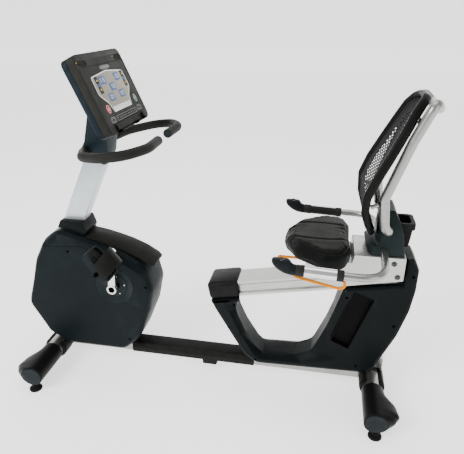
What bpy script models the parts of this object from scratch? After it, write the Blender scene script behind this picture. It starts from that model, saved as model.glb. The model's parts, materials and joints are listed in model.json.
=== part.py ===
"""Recumbent exercise bike as an assembly of separate solids, in metres with +Z up.

The origin is on the floor under the middle of the frame.  +X runs from the drive
housing at the front to the seat at the rear, and +Y is the side away from the left
(-Y) pedal.
"""

import math

import bmesh
import bpy
from mathutils import Matrix
from mathutils import Vector

# ---------------------------------------------------------------- driving dimensions
GAP = 0.0003                # clearance between pieces that touch
TRACK_HALF = 0.282          # end of the stabilisers from the middle
STAB_HALF = 0.250           # half length of a stabiliser tube
STAB_RADIUS = 0.038
STAB_Z = 0.077
FRONT_X = -0.670            # axis of the front stabiliser
REAR_X = 0.655              # axis of the rear stabiliser
FOOT_Y = 0.261
FOOT_OFFSET = 0.006         # a foot stands this far outside its stabiliser's axis
FOOT_RADIUS = 0.025
FOOT_TRAVEL = 0.015

WALL = 0.003                   # wall of the steel tubes
BEAM_HALF_Y = 0.030
BEAM_Z = (0.062, 0.100)

CRANK_AXIS = Vector((-0.368, 0.0, 0.414))
CRANK_LENGTH = 0.160
CRANK_TILT = math.radians(4.5)      # left crank points up and slightly to the rear
CRANK_Y = 0.108                     # middle of a crank arm from the middle plane
PEDAL_Y = 0.205
FLYWHEEL_AXIS = Vector((-0.575, 0.0, 0.275))
FLYWHEEL_RADIUS = 0.120
BELT_Y = 0.052
PULLEY_RADIUS = 0.096
SMALL_PULLEY_RADIUS = 0.024
BELT_THICK = 0.003
BELT_WIDTH = 0.014

MAST_LEAN = math.radians(25.3)
MAST_FOOT = Vector((-0.566, 0.0, 0.600))
MAST_LENGTH = 0.330
MAST_SIZE = (0.078, 0.060)

SHROUD_HALF = 0.090
SHELL = 0.004

RAIL_TILT = math.radians(10.8)
RAIL_START = Vector((0.034, 0.0, 0.4167))   # middle of the rail's front end
RAIL_LENGTH = 0.672
RAIL_SIZE = (0.100, 0.061)
SEAT_TRAVEL = 0.225         # forwards along the rail

CONSOLE_TILT = math.radians(24.0)
CONSOLE_CENTRE = Vector((-0.352, 0.0, 1.149))
CONSOLE_SIZE = (0.362, 0.272)

GRIP_Y = 0.270
HANDLE_RADIUS = 0.0127
GRIP_RADIUS = 0.0185
HANDLE_CORNER = (0.622, 0.272, 0.647)   # where a handle arm turns forwards
HANDLE_END = (0.342, 0.270, 0.656)
LEVER_PIVOT = (0.345, -0.060, 0.593)
STRUT_RADIUS = 0.007
STRUTS = (                     # from the backrest tube to the rim of the backrest
    ((0.6060, 0.1200, 0.8450), (0.5653, 0.1268, 0.8305)),
    ((0.6910, 0.1200, 1.1050), (0.6733, 0.1111, 1.1090)),
)

NAME = "recumbent_exercise_bike"

# ---------------------------------------------------------------- scene and helpers
for old in list(bpy.data.objects):
    bpy.data.objects.remove(old, do_unlink=True)

PARTS = bpy.data.collections.new(NAME)
CUTTERS = bpy.data.collections.new(NAME + "_cutters")
bpy.context.scene.collection.children.link(PARTS)
bpy.context.scene.collection.children.link(CUTTERS)


def material(name, colour, roughness, metallic):
    """A plain Principled material."""
    made = bpy.data.materials.new(name)
    made.use_nodes = True
    shader = made.node_tree.nodes["Principled BSDF"]
    shader.inputs["Base Color"].default_value = (*colour, 1.0)
    shader.inputs["Roughness"].default_value = roughness
    shader.inputs["Metallic"].default_value = metallic
    return made


PALETTE = {
    "shell": ((0.020, 0.026, 0.032), 0.45, 0.0),
    "trim": ((0.035, 0.036, 0.034), 0.50, 0.0),
    "rubber": ((0.012, 0.012, 0.013), 0.70, 0.0),
    "silver": ((0.62, 0.62, 0.60), 0.35, 0.9),
    "rail": ((0.74, 0.74, 0.71), 0.30, 0.9),
    "steel": ((0.45, 0.46, 0.47), 0.30, 1.0),
    "iron": ((0.16, 0.16, 0.17), 0.55, 0.8),
    "vinyl": ((0.028, 0.028, 0.026), 0.42, 0.0),
    "orange": ((0.95, 0.36, 0.01), 0.35, 0.0),
    "display": ((0.50, 0.49, 0.43), 0.20, 0.0),
    "belt": ((0.010, 0.010, 0.010), 0.80, 0.0),
}
MATERIALS = {}


def finish(obj, look, collection=PARTS):
    """Give an object its material and its collection."""
    if look not in MATERIALS:
        colour, roughness, metallic = PALETTE[look]
        MATERIALS[look] = material(look, colour, roughness, metallic)
    own = MATERIALS[look].copy()
    own.name = obj.name + "_" + look
    obj.data.materials.clear()
    obj.data.materials.append(own)
    collection.objects.link(obj)
    return obj


def as_cutter(obj):
    """Mark an object as a Boolean cutter."""
    obj.hide_render = True
    obj.display_type = "WIRE"
    CUTTERS.objects.link(obj)
    return obj


def from_bmesh(name, mesh_builder):
    """Turn a bmesh into an object."""
    mesh = bpy.data.meshes.new(name)
    mesh_builder.to_mesh(mesh)
    mesh_builder.free()
    return bpy.data.objects.new(name, mesh)


def smooth(obj, angle=math.radians(35.0)):
    """Shade a round piece smooth, with its sharp edges kept."""
    obj.data.shade_smooth()
    obj.data.set_sharp_from_angle(angle=angle)
    return obj


def box(name, size, centre, tilt=0.0):
    """A box turned about Y: a positive tilt raises its +X end."""
    shape = bmesh.new()
    bmesh.ops.create_cube(shape, size=1.0)
    bmesh.ops.scale(shape, vec=Vector(size), verts=shape.verts)
    obj = from_bmesh(name, shape)
    obj.location = centre
    obj.rotation_euler = (0.0, -tilt, 0.0)
    return obj


def cylinder(name, radius, length, centre, direction=(0.0, 1.0, 0.0), sides=24, radius_2=None):
    """A cylinder or cone centred on a point, along a direction."""
    shape = bmesh.new()
    bmesh.ops.create_cone(
        shape,
        cap_ends=True,
        segments=sides,
        radius1=radius,
        radius2=radius if radius_2 is None else radius_2,
        depth=length,
    )
    obj = from_bmesh(name, shape)
    obj.rotation_euler = Vector(direction).to_track_quat("Z", "Y").to_euler()
    obj.location = centre
    return smooth(obj)


def turned(name, profile, centre, direction=(0.0, 1.0, 0.0), sides=28, closed=False):
    """A profile of (radius, height) pairs, top first, swept round a direction."""
    mesh = bpy.data.meshes.new(name)
    count = len(profile)
    edges = [(i, i + 1) for i in range(count - 1)]
    if closed:
        edges.append((count - 1, 0))
    mesh.from_pydata([(r, 0.0, h) for r, h in profile], edges, [])
    obj = bpy.data.objects.new(name, mesh)
    obj.rotation_euler = Vector(direction).to_track_quat("Z", "Y").to_euler()
    obj.location = centre
    screw = obj.modifiers.new("turn", "SCREW")
    screw.steps = sides
    screw.render_steps = sides
    screw.use_merge_vertices = True
    screw.merge_threshold = 0.00005
    screw.use_smooth_shade = True
    return obj


def settle(obj):
    """Replace an object by its evaluated, welded mesh in world space."""
    temporary = not obj.users_collection
    if temporary:
        bpy.context.scene.collection.objects.link(obj)
    graph = bpy.context.evaluated_depsgraph_get()
    graph.update()
    made = bpy.data.meshes.new_from_object(obj.evaluated_get(graph), depsgraph=graph)
    shape = bmesh.new()
    shape.from_mesh(made)
    bmesh.ops.remove_doubles(shape, verts=shape.verts, dist=0.00002)
    bmesh.ops.transform(shape, matrix=obj.matrix_world, verts=shape.verts)
    bmesh.ops.recalc_face_normals(shape, faces=shape.faces)
    shape.to_mesh(made)
    shape.free()
    name = obj.name
    bpy.data.objects.remove(obj, do_unlink=True)
    return bpy.data.objects.new(name, made)


def rounded_path(points, radius, steps=4, cyclic=False):
    """Corner points with each inner corner replaced by an arc."""
    corners = [Vector(p) for p in points]
    count = len(corners)
    path = []
    for i, corner in enumerate(corners):
        if not cyclic and i in (0, count - 1):
            path.append(corner)
            continue
        before = corners[i - 1]
        after = corners[(i + 1) % count]
        to_before = (before - corner).normalized()
        to_after = (after - corner).normalized()
        half = to_before.angle(to_after) / 2.0
        reach = min(
            radius / math.tan(half),
            (before - corner).length * 0.49,
            (after - corner).length * 0.49,
        )
        start = corner + to_before * reach
        end = corner + to_after * reach
        for k in range(steps + 1):
            t = k / steps
            path.append(start.lerp(corner, t).lerp(corner.lerp(end, t), t))
    return path


def bar(name, points, radius, bend=0.03, resolution=3, steps=4, cyclic=False):
    """A round tube along a path with filleted bends."""
    curve = bpy.data.curves.new(name, "CURVE")
    curve.dimensions = "3D"
    curve.bevel_depth = radius
    curve.bevel_resolution = resolution
    curve.use_fill_caps = not cyclic
    path = rounded_path(points, bend, steps, cyclic)
    spline = curve.splines.new("POLY")
    spline.points.add(len(path) - 1)
    for point, place in zip(spline.points, path):
        point.co = (*place, 1.0)
    spline.use_cyclic_u = cyclic
    return smooth(settle(bpy.data.objects.new(name, curve)))


def plate(name, outline, y_low, y_high, round_edge=0.0):
    """A flat outline in the XZ plane, given thickness along Y."""
    curve = bpy.data.curves.new(name, "CURVE")
    curve.dimensions = "2D"
    curve.fill_mode = "BOTH"
    curve.extrude = (y_high - y_low) / 2.0
    spline = curve.splines.new("POLY")
    spline.points.add(len(outline) - 1)
    for point, place in zip(spline.points, outline):
        point.co = (place[0], place[1], 0.0, 1.0)
    spline.use_cyclic_u = True
    obj = bpy.data.objects.new(name, curve)
    obj.location = (0.0, (y_low + y_high) / 2.0, 0.0)
    obj.rotation_euler = (math.pi / 2.0, 0.0, 0.0)
    obj = settle(obj)
    if round_edge > 0.0:
        bevel(obj, round_edge)
    return obj


def flat_plate(name, outline, z_low, z_high, round_edge=0.0, segments=2):
    """A flat outline in the XY plane, given thickness along Z."""
    curve = bpy.data.curves.new(name, "CURVE")
    curve.dimensions = "2D"
    curve.fill_mode = "BOTH"
    curve.extrude = (z_high - z_low) / 2.0
    spline = curve.splines.new("POLY")
    spline.points.add(len(outline) - 1)
    for point, place in zip(spline.points, outline):
        point.co = (place[0], place[1], 0.0, 1.0)
    spline.use_cyclic_u = True
    obj = bpy.data.objects.new(name, curve)
    obj.location = (0.0, 0.0, (z_low + z_high) / 2.0)
    obj = settle(obj)
    if round_edge > 0.0:
        bevel(obj, round_edge, segments)
    return obj


def bevel(obj, width, segments=2, angle=math.radians(40.0)):
    """Round the sharp edges of an object."""
    modifier = obj.modifiers.new("edges", "BEVEL")
    modifier.width = width
    modifier.segments = segments
    modifier.limit_method = "ANGLE"
    modifier.angle_limit = angle
    return obj


def solidify(obj, thickness):
    """Give an open surface a wall on its inner side."""
    modifier = obj.modifiers.new("wall", "SOLIDIFY")
    modifier.thickness = thickness
    modifier.offset = -1.0
    modifier.use_even_offset = True
    return obj


def cut(obj, cutter, operation="DIFFERENCE"):
    """Boolean with the exact solver."""
    if not cutter.users_collection:
        as_cutter(cutter)
    modifier = obj.modifiers.new("cut_" + cutter.name, "BOOLEAN")
    modifier.operation = operation
    modifier.solver = "EXACT"
    modifier.object = cutter
    return obj


def join(obj, other):
    """Boolean union with another solid."""
    return cut(obj, other, "UNION")


def loft(name, rings, cap_start=True, cap_end=True, cyclic_rings=False):
    """Faces between closed rings of equal point counts."""
    shape = bmesh.new()
    loops = [[shape.verts.new(p) for p in ring] for ring in rings]
    count = len(rings[0])
    pairs = list(zip(loops[:-1], loops[1:]))
    if cyclic_rings:
        pairs.append((loops[-1], loops[0]))
    for first, second in pairs:
        for i in range(count):
            j = (i + 1) % count
            shape.faces.new((first[i], first[j], second[j], second[i]))
    if cap_start and not cyclic_rings:
        shape.faces.new(list(reversed(loops[0])))
    if cap_end and not cyclic_rings:
        shape.faces.new(loops[-1])
    bmesh.ops.recalc_face_normals(shape, faces=shape.faces)
    return from_bmesh(name, shape)


def rounded_outline(corners, steps=3):
    """A closed 2D outline from (a, b, radius) corners."""
    outline = []
    count = len(corners)
    for i, (a, b, radius) in enumerate(corners):
        corner = Vector((a, b))
        before = Vector(corners[i - 1][:2])
        after = Vector(corners[(i + 1) % count][:2])
        to_before = (before - corner).normalized()
        to_after = (after - corner).normalized()
        half = max(to_before.angle(to_after) / 2.0, 0.05)
        reach = min(
            radius / math.tan(half),
            (before - corner).length * 0.48,
            (after - corner).length * 0.48,
        )
        if radius <= 0.0:
            outline.append(corner)
            continue
        start = corner + to_before * reach
        end = corner + to_after * reach
        for k in range(steps + 1):
            t = k / steps
            outline.append(start.lerp(corner, t).lerp(corner.lerp(end, t), t))
    return outline


def inset(outline, distances):
    """Move each outline point inwards by its own distance."""
    count = len(outline)
    area = sum(
        outline[i - 1][0] * outline[i][1] - outline[i][0] * outline[i - 1][1]
        for i in range(count)
    )
    side = 1.0 if area > 0.0 else -1.0
    moved = []
    for i, point in enumerate(outline):
        along = (outline[(i + 1) % count] - outline[i - 1]).normalized()
        inward = Vector((-along[1], along[0])) * side
        moved.append(point + inward * distances[i])
    return moved


def mirrored(name, obj):
    """A copy of a settled object on the other side of the middle plane."""
    copy = bpy.data.objects.new(name, obj.data.copy())
    shape = bmesh.new()
    shape.from_mesh(copy.data)
    bmesh.ops.transform(shape, matrix=obj.matrix_world, verts=shape.verts)
    bmesh.ops.scale(shape, vec=Vector((1.0, -1.0, 1.0)), verts=shape.verts)
    bmesh.ops.reverse_faces(shape, faces=shape.faces)
    shape.to_mesh(copy.data)
    shape.free()
    return copy


def hang(obj, pivot):
    """Put an object's origin on its joint axis without moving its mesh."""
    world = obj.matrix_basis.copy()
    obj.data.transform(Matrix.Translation(-Vector(pivot)) @ world)
    obj.matrix_basis = Matrix.Translation(Vector(pivot))
    return obj


def along_rail(distance, up=0.0, side=0.0):
    """A point on the rail's own axes, from its front end."""
    forward = Vector((math.cos(RAIL_TILT), 0.0, math.sin(RAIL_TILT)))
    normal = Vector((-math.sin(RAIL_TILT), 0.0, math.cos(RAIL_TILT)))
    return RAIL_START + forward * distance + normal * up + Vector((0.0, side, 0.0))


def crank_direction(sign):
    """Unit vector from the crank axis to a pedal axis: sign -1 is the left crank."""
    return Vector((math.sin(CRANK_TILT), 0.0, math.cos(CRANK_TILT))) * -sign


# ---------------------------------------------------------------- base frame
def make_base_beam():
    """Rectangular steel beam between the two stabilisers."""
    front = FRONT_X + STAB_RADIUS + GAP
    rear = REAR_X - STAB_RADIUS - GAP
    size = (rear - front, 2.0 * BEAM_HALF_Y, BEAM_Z[1] - BEAM_Z[0])
    centre = ((front + rear) / 2.0, 0.0, (BEAM_Z[0] + BEAM_Z[1]) / 2.0)
    beam = bevel(box("base_beam", size, centre), 0.003, 1)
    bore = box("base_beam_bore", (2.0 * size[0], size[1] - 2.0 * WALL, size[2] - 2.0 * WALL), centre)
    finish(cut(beam, bore), "silver")


def make_stabiliser(name, x):
    """Round cross tube with its ends inside the plastic caps."""
    length = 2.0 * STAB_HALF
    tube = cylinder(name, STAB_RADIUS, length, (x, 0.0, STAB_Z), sides=32)
    bore = cylinder(name + "_bore", STAB_RADIUS - WALL, 2.0 * length, (x, 0.0, STAB_Z), sides=32)
    finish(cut(tube, bore), "silver")


def make_end_cap(name, x, side, outward):
    """Sleeve over a stabiliser end with a bulge away from the middle of the bike."""
    inner = 0.112
    outer = TRACK_HALF
    rings = []
    sections = (
        (inner, 0.0),
        (inner + 0.030, 0.004),
        (inner + 0.085, 0.038),
        (inner + 0.125, 0.045),
        (outer - 0.020, 0.030),
        (outer, 0.006),
    )
    radius = STAB_RADIUS + 0.0035
    for y, bulge in sections:
        ring = []
        for k in range(24):
            turn = math.tau * k / 24
            reach = math.cos(turn) * radius
            lift = math.sin(turn) * radius
            if reach * outward > 0.0:
                reach += outward * bulge * math.cos(turn) ** 2
            ring.append((x + reach, side * y, STAB_Z + lift))
        rings.append(ring)
    cap = smooth(loft(name, rings), math.radians(50.0))
    tube_room = cylinder(
        name + "_room",
        STAB_RADIUS + GAP,
        0.2,
        (x, side * (STAB_HALF + GAP - 0.1), STAB_Z),
        sides=32,
    )
    cut(cap, tube_room)
    stem = (x + outward * FOOT_OFFSET, side * FOOT_Y, 0.033)
    cut(cap, cylinder(name + "_stem_room", 0.0060, 0.060, stem, (0, 0, 1), 20))
    finish(cap, "trim")


def make_foot(name, x, side):
    """Screw-in levelling foot: a broad pad with a threaded stem."""
    profile = [
        (0.0, 0.056),
        (0.0055, 0.056),
        (0.0055, 0.020),
        (0.0110, 0.0195),
        (0.0110, 0.013),
        (FOOT_RADIUS - 0.003, 0.009),
        (FOOT_RADIUS, 0.006),
        (FOOT_RADIUS, 0.001),
        (FOOT_RADIUS - 0.001, 0.0),
        (0.0, 0.0),
    ]
    foot = turned(name, profile, (x, side * FOOT_Y, 0.0), (0, 0, 1), 18)
    finish(foot, "rubber")


def make_saddle(name, x, inward):
    """Two-step plastic collar over the middle of a stabiliser."""
    radius = STAB_RADIUS + 0.010
    body = cylinder(name, radius, 0.180, (x, 0.0, STAB_Z), sides=28)
    ring = cylinder(name + "_ring", radius - 0.004, 0.204, (x, 0.0, STAB_Z), sides=28)
    join(body, ring)
    cut(body, cylinder(name + "_room", STAB_RADIUS + GAP, 0.3, (x, 0.0, STAB_Z), sides=32))
    keep_up = box(name + "_beam_room", (0.12, 0.076, 0.080), (x + inward * 0.082, 0.0, 0.078))
    cut(body, keep_up)
    cut(body, box(name + "_top_room", (0.2, 0.3, 0.06), (x, 0.0, STAB_Z + 0.030 + 0.032)))
    finish(body, "trim")


def make_beam_cover():
    """Plastic channel over the beam between the two housings."""
    front, rear = -0.340, 0.186
    profile = rounded_outline(
        [
            (-0.0385, 0.066, 0.0),
            (-0.0405, 0.088, 0.010),
            (-0.0330, 0.1105, 0.010),
            (0.0330, 0.1105, 0.010),
            (0.0405, 0.088, 0.010),
            (0.0385, 0.066, 0.0),
            (0.0305, 0.066, 0.0),
            (0.0305, 0.1005, 0.0),
            (-0.0305, 0.1005, 0.0),
            (-0.0305, 0.066, 0.0),
        ]
    )
    rings = [[(x, y, z) for y, z in profile] for x in (front, -0.275, -0.2745, 0.1770, 0.1775, rear)]
    for index in (1, 2, 3, 4):
        shrink = 0.9985
        rings[index] = [(x, y * shrink if abs(y) > 0.0306 else y, z) for x, y, z in rings[index]]
    finish(smooth(loft("beam_cover", rings)), "trim")


def make_centre_foot():
    """Rubber block under the middle of the beam, clear of the floor."""
    block = box("centre_foot", (0.062, 0.050, 0.030), (-0.005, 0.0, BEAM_Z[0] - 0.015 - GAP))
    finish(bevel(block, 0.006), "rubber")


def make_drive_frame():
    """Welded posts that carry the mast, the crank bearing and the flywheel shaft."""
    low = BEAM_Z[1] + GAP
    top = MAST_FOOT.z - 0.012
    post = box("drive_frame", (0.050, 0.036, top - low), (FLYWHEEL_AXIS.x, 0.0, (top + low) / 2))
    head = box("frame_head", (0.110, 0.070, 0.010), (MAST_FOOT.x + 0.002, 0.0, top - 0.005))
    join(post, head)
    crank_top = CRANK_AXIS.z
    leg = box(
        "frame_leg",
        (0.040, 0.036, crank_top - low),
        (CRANK_AXIS.x, 0.0, (crank_top + low) / 2),
    )
    join(post, leg)
    brace = box(
        "frame_brace",
        (abs(FLYWHEEL_AXIS.x - CRANK_AXIS.x), 0.030, 0.030),
        ((FLYWHEEL_AXIS.x + CRANK_AXIS.x) / 2.0, 0.0, CRANK_AXIS.z),
    )
    join(post, brace)
    join(post, cylinder("frame_shell", 0.026, 0.070, CRANK_AXIS, sides=24))
    join(post, cylinder("frame_hub", 0.017, 0.044, FLYWHEEL_AXIS, sides=24))
    cut(post, cylinder("crank_bore", 0.01310, 0.2, CRANK_AXIS, sides=32))
    cut(post, cylinder("flywheel_bore", 0.00805, 0.2, FLYWHEEL_AXIS, sides=32))
    finish(post, "iron")


def make_rear_post():
    """Silver post from the rear stabiliser up to the rail."""
    high = along_rail(0.627, -RAIL_SIZE[1] / 2.0 - 0.001)
    outline = [
        Vector((0.6330, 0.1050)),
        Vector((0.6940, 0.1050)),
        Vector((0.6940, 0.1600)),
        Vector((0.6640, 0.1880)),
        Vector((high.x + 0.018, high.z + 0.0030)),
        Vector((high.x - 0.018, high.z - 0.0040)),
    ]
    post = bevel(plate("rear_post", outline, -0.026, 0.026), 0.002, 1)
    cut(post, cylinder("rear_post_seat", STAB_RADIUS + 0.0105, 0.2, (REAR_X, 0.0, STAB_Z), sides=32))
    finish(post, "silver")


def make_front_post():
    """Post inside the front arm of the rear housing, from the beam to the rail."""
    low_z = BEAM_Z[1] + GAP
    high = along_rail(0.018, -RAIL_SIZE[1] / 2.0 - 0.001)
    outline = [
        Vector((0.2090, low_z)),
        Vector((0.2290, low_z)),
        Vector((0.1480, 0.2140)),
        Vector((high.x + 0.017, high.z + 0.0025)),
        Vector((high.x - 0.017, high.z - 0.0040)),
        Vector((0.1200, 0.2140)),
    ]
    finish(plate("rail_front_post", outline, -0.020, 0.020), "silver")


def make_mast():
    """Leaning rectangular mast that carries the console."""
    along = Vector((math.sin(MAST_LEAN), 0.0, math.cos(MAST_LEAN)))
    mast = box(
        "mast",
        (MAST_SIZE[0], MAST_SIZE[1], MAST_LENGTH),
        MAST_FOOT + along * (MAST_LENGTH / 2.0 + 0.012),
        tilt=-MAST_LEAN,
    )
    bevel(mast, 0.007, 2)
    bore = box(
        "mast_bore",
        (MAST_SIZE[0] - 2.0 * WALL, MAST_SIZE[1] - 2.0 * WALL, 2.0 * MAST_LENGTH),
        MAST_FOOT + along * (MAST_LENGTH / 2.0),
        tilt=-MAST_LEAN,
    )
    finish(cut(mast, bore), "silver")


# ---------------------------------------------------------------- front housing
SHROUD_OUTLINE = (
    (-0.500, 0.604, 0.000),
    (-0.596, 0.628, 0.050),
    (-0.655, 0.586, 0.080),
    (-0.702, 0.500, 0.120),
    (-0.733, 0.395, 0.200),
    (-0.766, 0.295, 0.050),
    (-0.690, 0.152, 0.050),
    (-0.605, 0.104, 0.040),
    (-0.350, 0.104, 0.050),
    (-0.292, 0.160, 0.080),
    (-0.235, 0.300, 0.100),
    (-0.214, 0.400, 0.060),
    (-0.232, 0.478, 0.040),
    (-0.268, 0.519, 0.050),
    (-0.330, 0.553, 0.000),
    (-0.430, 0.583, 0.000),
)


def make_shroud():
    """Left and right halves of the drive housing."""
    outline = rounded_outline(SHROUD_OUTLINE, 2)
    edge = []
    for point in outline:
        top = point[1] > 0.505 and point[0] > -0.66
        edge.append(0.024 if top else 0.011)
    shoulder = inset(outline, [d * 0.35 for d in edge])
    rim = inset(outline, edge)
    flat = inset(outline, [d + 0.006 for d in edge])

    def ring(points, y):
        return [(p[0], y, p[1]) for p in points]

    rings = [
        ring(outline, -GAP),
        ring(outline, -0.058),
        ring(shoulder, -0.074),
        ring(rim, -0.0865),
        ring(flat, -SHROUD_HALF),
    ]
    left = loft("shroud_left", rings, cap_start=False)
    solidify(left, SHELL)
    left = settle(left)
    right = mirrored("shroud_right", left)
    along = Vector((math.sin(MAST_LEAN), 0.0, math.cos(MAST_LEAN)))
    for half, name in ((left, "left"), (right, "right")):
        y = -0.1 if name == "left" else 0.1
        hub = (CRANK_AXIS.x, y, CRANK_AXIS.z)
        cut(half, cylinder("shroud_hub_" + name, 0.0760, 0.06, hub, sides=32))
        beam = box("shroud_beam_" + name, (0.50, 0.0826, 0.03), (-0.510, 0.0, 0.1))
        cut(half, beam)
        mast = box(
            "shroud_mast_" + name,
            (MAST_SIZE[0] + 0.002, MAST_SIZE[1] + 0.002, 0.3),
            MAST_FOOT + along * 0.1,
            tilt=-MAST_LEAN,
        )
        cut(half, mast)
        smooth(half, math.radians(25.0))
        finish(half, "shell")


def make_shroud_top():
    """Top cover with a shallow rear tray, a lip at its rear end and a collar at the mast."""
    stations = (
        (-0.4850, 0.6055, 0.0052),
        (-0.4600, 0.6015, 0.0085),
        (-0.4300, 0.5960, 0.0120),
        (-0.3800, 0.5832, 0.0140),
        (-0.3300, 0.5680, 0.0140),
        (-0.2700, 0.5430, 0.0140),
        (-0.2250, 0.5150, 0.0110),
        (-0.2100, 0.5050, 0.0080),
    )
    rings = []
    for x, z, thick in stations:
        half = 0.057 if x < -0.22 else 0.048
        rings.append(
            [
                (x, -half, z - 0.004),
                (x, -half + 0.010, z),
                (x, 0.0, z + 0.003),
                (x, half - 0.010, z),
                (x, half, z - 0.004),
                (x, half - 0.003, z - thick),
                (x, 0.0, z - thick),
                (x, -half + 0.003, z - thick),
            ]
        )
    finish(smooth(loft("shroud_top", rings), math.radians(30.0)), "trim")


def make_mast_collar():
    """Stepped collar where the mast comes out of the housing."""
    outline = rounded_outline(
        [
            (-0.598, 0.6330, 0.0),
            (-0.583, 0.664, 0.006),
            (-0.492, 0.664, 0.008),
            (-0.480, 0.624, 0.006),
            (-0.4860, 0.6075, 0.0),
            (-0.4990, 0.6075, 0.0),
            (-0.5560, 0.6260, 0.0),
            (-0.5800, 0.6330, 0.0),
        ]
    )
    collar = plate("mast_collar", outline, -0.050, 0.050, 0.006)
    along = Vector((math.sin(MAST_LEAN), 0.0, math.cos(MAST_LEAN)))
    room = box(
        "collar_mast_room",
        (MAST_SIZE[0] + 0.001, MAST_SIZE[1] + 0.001, 0.3),
        MAST_FOOT + along * 0.1,
        tilt=-MAST_LEAN,
    )
    cut(collar, room)
    finish(collar, "shell")


def make_hub_cover(name, side):
    """Dished round cover about the crank axle."""
    profile = [
        (0.0755, 0.0),
        (0.0740, -0.0040),
        (0.0515, -0.0140),
        (0.0180, -0.0120),
        (0.0180, -0.0080),
        (0.0465, -0.0080),
        (0.0480, -0.0110),
        (0.0500, -0.0110),
        (0.0740, -0.0005),
    ]
    centre = Vector((CRANK_AXIS.x, side * SHROUD_HALF, CRANK_AXIS.z))
    cover = turned(name, profile, centre, (0.0, side, 0.0), 32, closed=True)
    finish(cover, "trim")


# ---------------------------------------------------------------- drive
def make_crank_axle():
    """Axle through the bearing shell."""
    axle = cylinder("crank_axle", 0.013, 0.236, CRANK_AXIS, sides=32)
    finish(hang(axle, CRANK_AXIS), "steel")


def make_crank(name, side):
    """Crank arm with an eye at each end."""
    reach = crank_direction(side if side < 0 else 1)
    y = side * CRANK_Y
    hub = Vector((CRANK_AXIS.x, y, CRANK_AXIS.z))
    end = hub + reach * CRANK_LENGTH
    rings = []
    across = Vector((reach.z, 0.0, -reach.x))
    for share, half, thick in ((0.0, 0.015, 0.009), (0.5, 0.012, 0.007), (1.0, 0.013, 0.007)):
        centre = hub.lerp(end, share)
        ring = []
        for a, b in ((-1, -1), (1, -1), (1, 1), (-1, 1)):
            ring.append(centre + across * half * a + Vector((0.0, thick * b, 0.0)))
        rings.append(ring)
    arm = loft(name, rings)
    join(arm, cylinder(name + "_eye", 0.0195, 0.022, hub, sides=20))
    join(arm, cylinder(name + "_tip", 0.0155, 0.0165, end, sides=20))
    cut(arm, cylinder(name + "_bore", 0.0133, 0.060, hub, sides=24))
    cut(arm, cylinder(name + "_tip_bore", 0.00730, 0.060, end, sides=20))
    finish(hang(settle_part(arm), CRANK_AXIS), "steel")


def settle_part(obj):
    """Settle an object whose modifiers must be fixed before its origin moves."""
    return smooth(settle(obj))


def make_drive_pulley():
    """Large belt pulley on the crank axle."""
    half = BELT_WIDTH / 2.0 + 0.002
    web = 0.004
    profile = [
        (PULLEY_RADIUS, half),
        (PULLEY_RADIUS, -half),
        (PULLEY_RADIUS - 0.010, -half),
        (PULLEY_RADIUS - 0.010, -web),
        (0.025, -web),
        (0.025, -half),
        (0.0133, -half),
        (0.0133, half),
        (0.025, half),
        (0.025, web),
        (PULLEY_RADIUS - 0.010, web),
        (PULLEY_RADIUS - 0.010, half),
    ]
    centre = CRANK_AXIS + Vector((0.0, BELT_Y, 0.0))
    finish(turned("drive_pulley", profile, centre, (0.0, 1.0, 0.0), 24, closed=True), "iron")


def make_flywheel():
    """Flywheel with its shaft and small belt pulley."""
    y_disc = -0.048
    half = 0.011
    profile = [
        (0.0, 0.066),
        (0.008, 0.066),
        (SMALL_PULLEY_RADIUS, 0.0620),
        (SMALL_PULLEY_RADIUS, 0.0420),
        (0.0080, 0.0380),
        (0.0080, -0.0280),
        (0.022, -0.0290),
        (0.022, y_disc + half - 0.004),
        (FLYWHEEL_RADIUS - 0.028, y_disc + half - 0.004),
        (FLYWHEEL_RADIUS - 0.028, y_disc + half),
        (FLYWHEEL_RADIUS, y_disc + half),
        (FLYWHEEL_RADIUS, y_disc - half),
        (0.0, y_disc - half),
    ]
    finish(turned("flywheel", profile, FLYWHEEL_AXIS, (0.0, 1.0, 0.0), 24), "iron")


def belt_loop(grow):
    """Outline of the belt about both pulleys, at a distance from their faces."""
    big = Vector((CRANK_AXIS.x, CRANK_AXIS.z))
    small = Vector((FLYWHEEL_AXIS.x, FLYWHEEL_AXIS.z))
    radius_1 = PULLEY_RADIUS + grow
    radius_2 = SMALL_PULLEY_RADIUS + grow
    line = small - big
    base = math.atan2(line.y, line.x)
    spread = math.acos((radius_1 - radius_2) / line.length)
    points = []
    for k in range(17):
        turn = base + spread + (math.tau - 2.0 * spread) * k / 16
        points.append(big + Vector((math.cos(turn), math.sin(turn))) * radius_1)
    for k in range(9):
        turn = base - spread + 2.0 * spread * k / 8
        points.append(small + Vector((math.cos(turn), math.sin(turn))) * radius_2)
    return points


def make_belt():
    """Poly-V belt from the crank pulley to the flywheel pulley."""
    outside = belt_loop(0.0010 + BELT_THICK)
    inside = belt_loop(0.0010)
    low = BELT_Y - BELT_WIDTH / 2.0
    high = BELT_Y + BELT_WIDTH / 2.0

    def ring(points, y):
        return [(p[0], y, p[1]) for p in points]

    rings = [ring(outside, low), ring(outside, high), ring(inside, high), ring(inside, low)]
    finish(smooth(loft("drive_belt", rings, cyclic_rings=True)), "belt")


def make_brake():
    """Magnetic brake yoke about the rear of the flywheel rim, on a foot."""
    outline = [
        Vector((-0.490, 0.232)),
        Vector((-0.432, 0.232)),
        Vector((-0.432, 0.330)),
        Vector((-0.476, 0.330)),
    ]
    yoke = plate("brake_magnet", outline, -0.0715, -0.0245)
    slot = cylinder(
        "brake_slot",
        FLYWHEEL_RADIUS + 0.004,
        0.030,
        FLYWHEEL_AXIS + Vector((0.0, -0.048, 0.0)),
        sides=40,
    )
    cut(yoke, slot)
    foot = box("brake_foot", (0.020, 0.012, 0.140), (-0.442, -0.0235, 0.1705))
    join(yoke, foot)
    finish(yoke, "iron")


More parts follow.
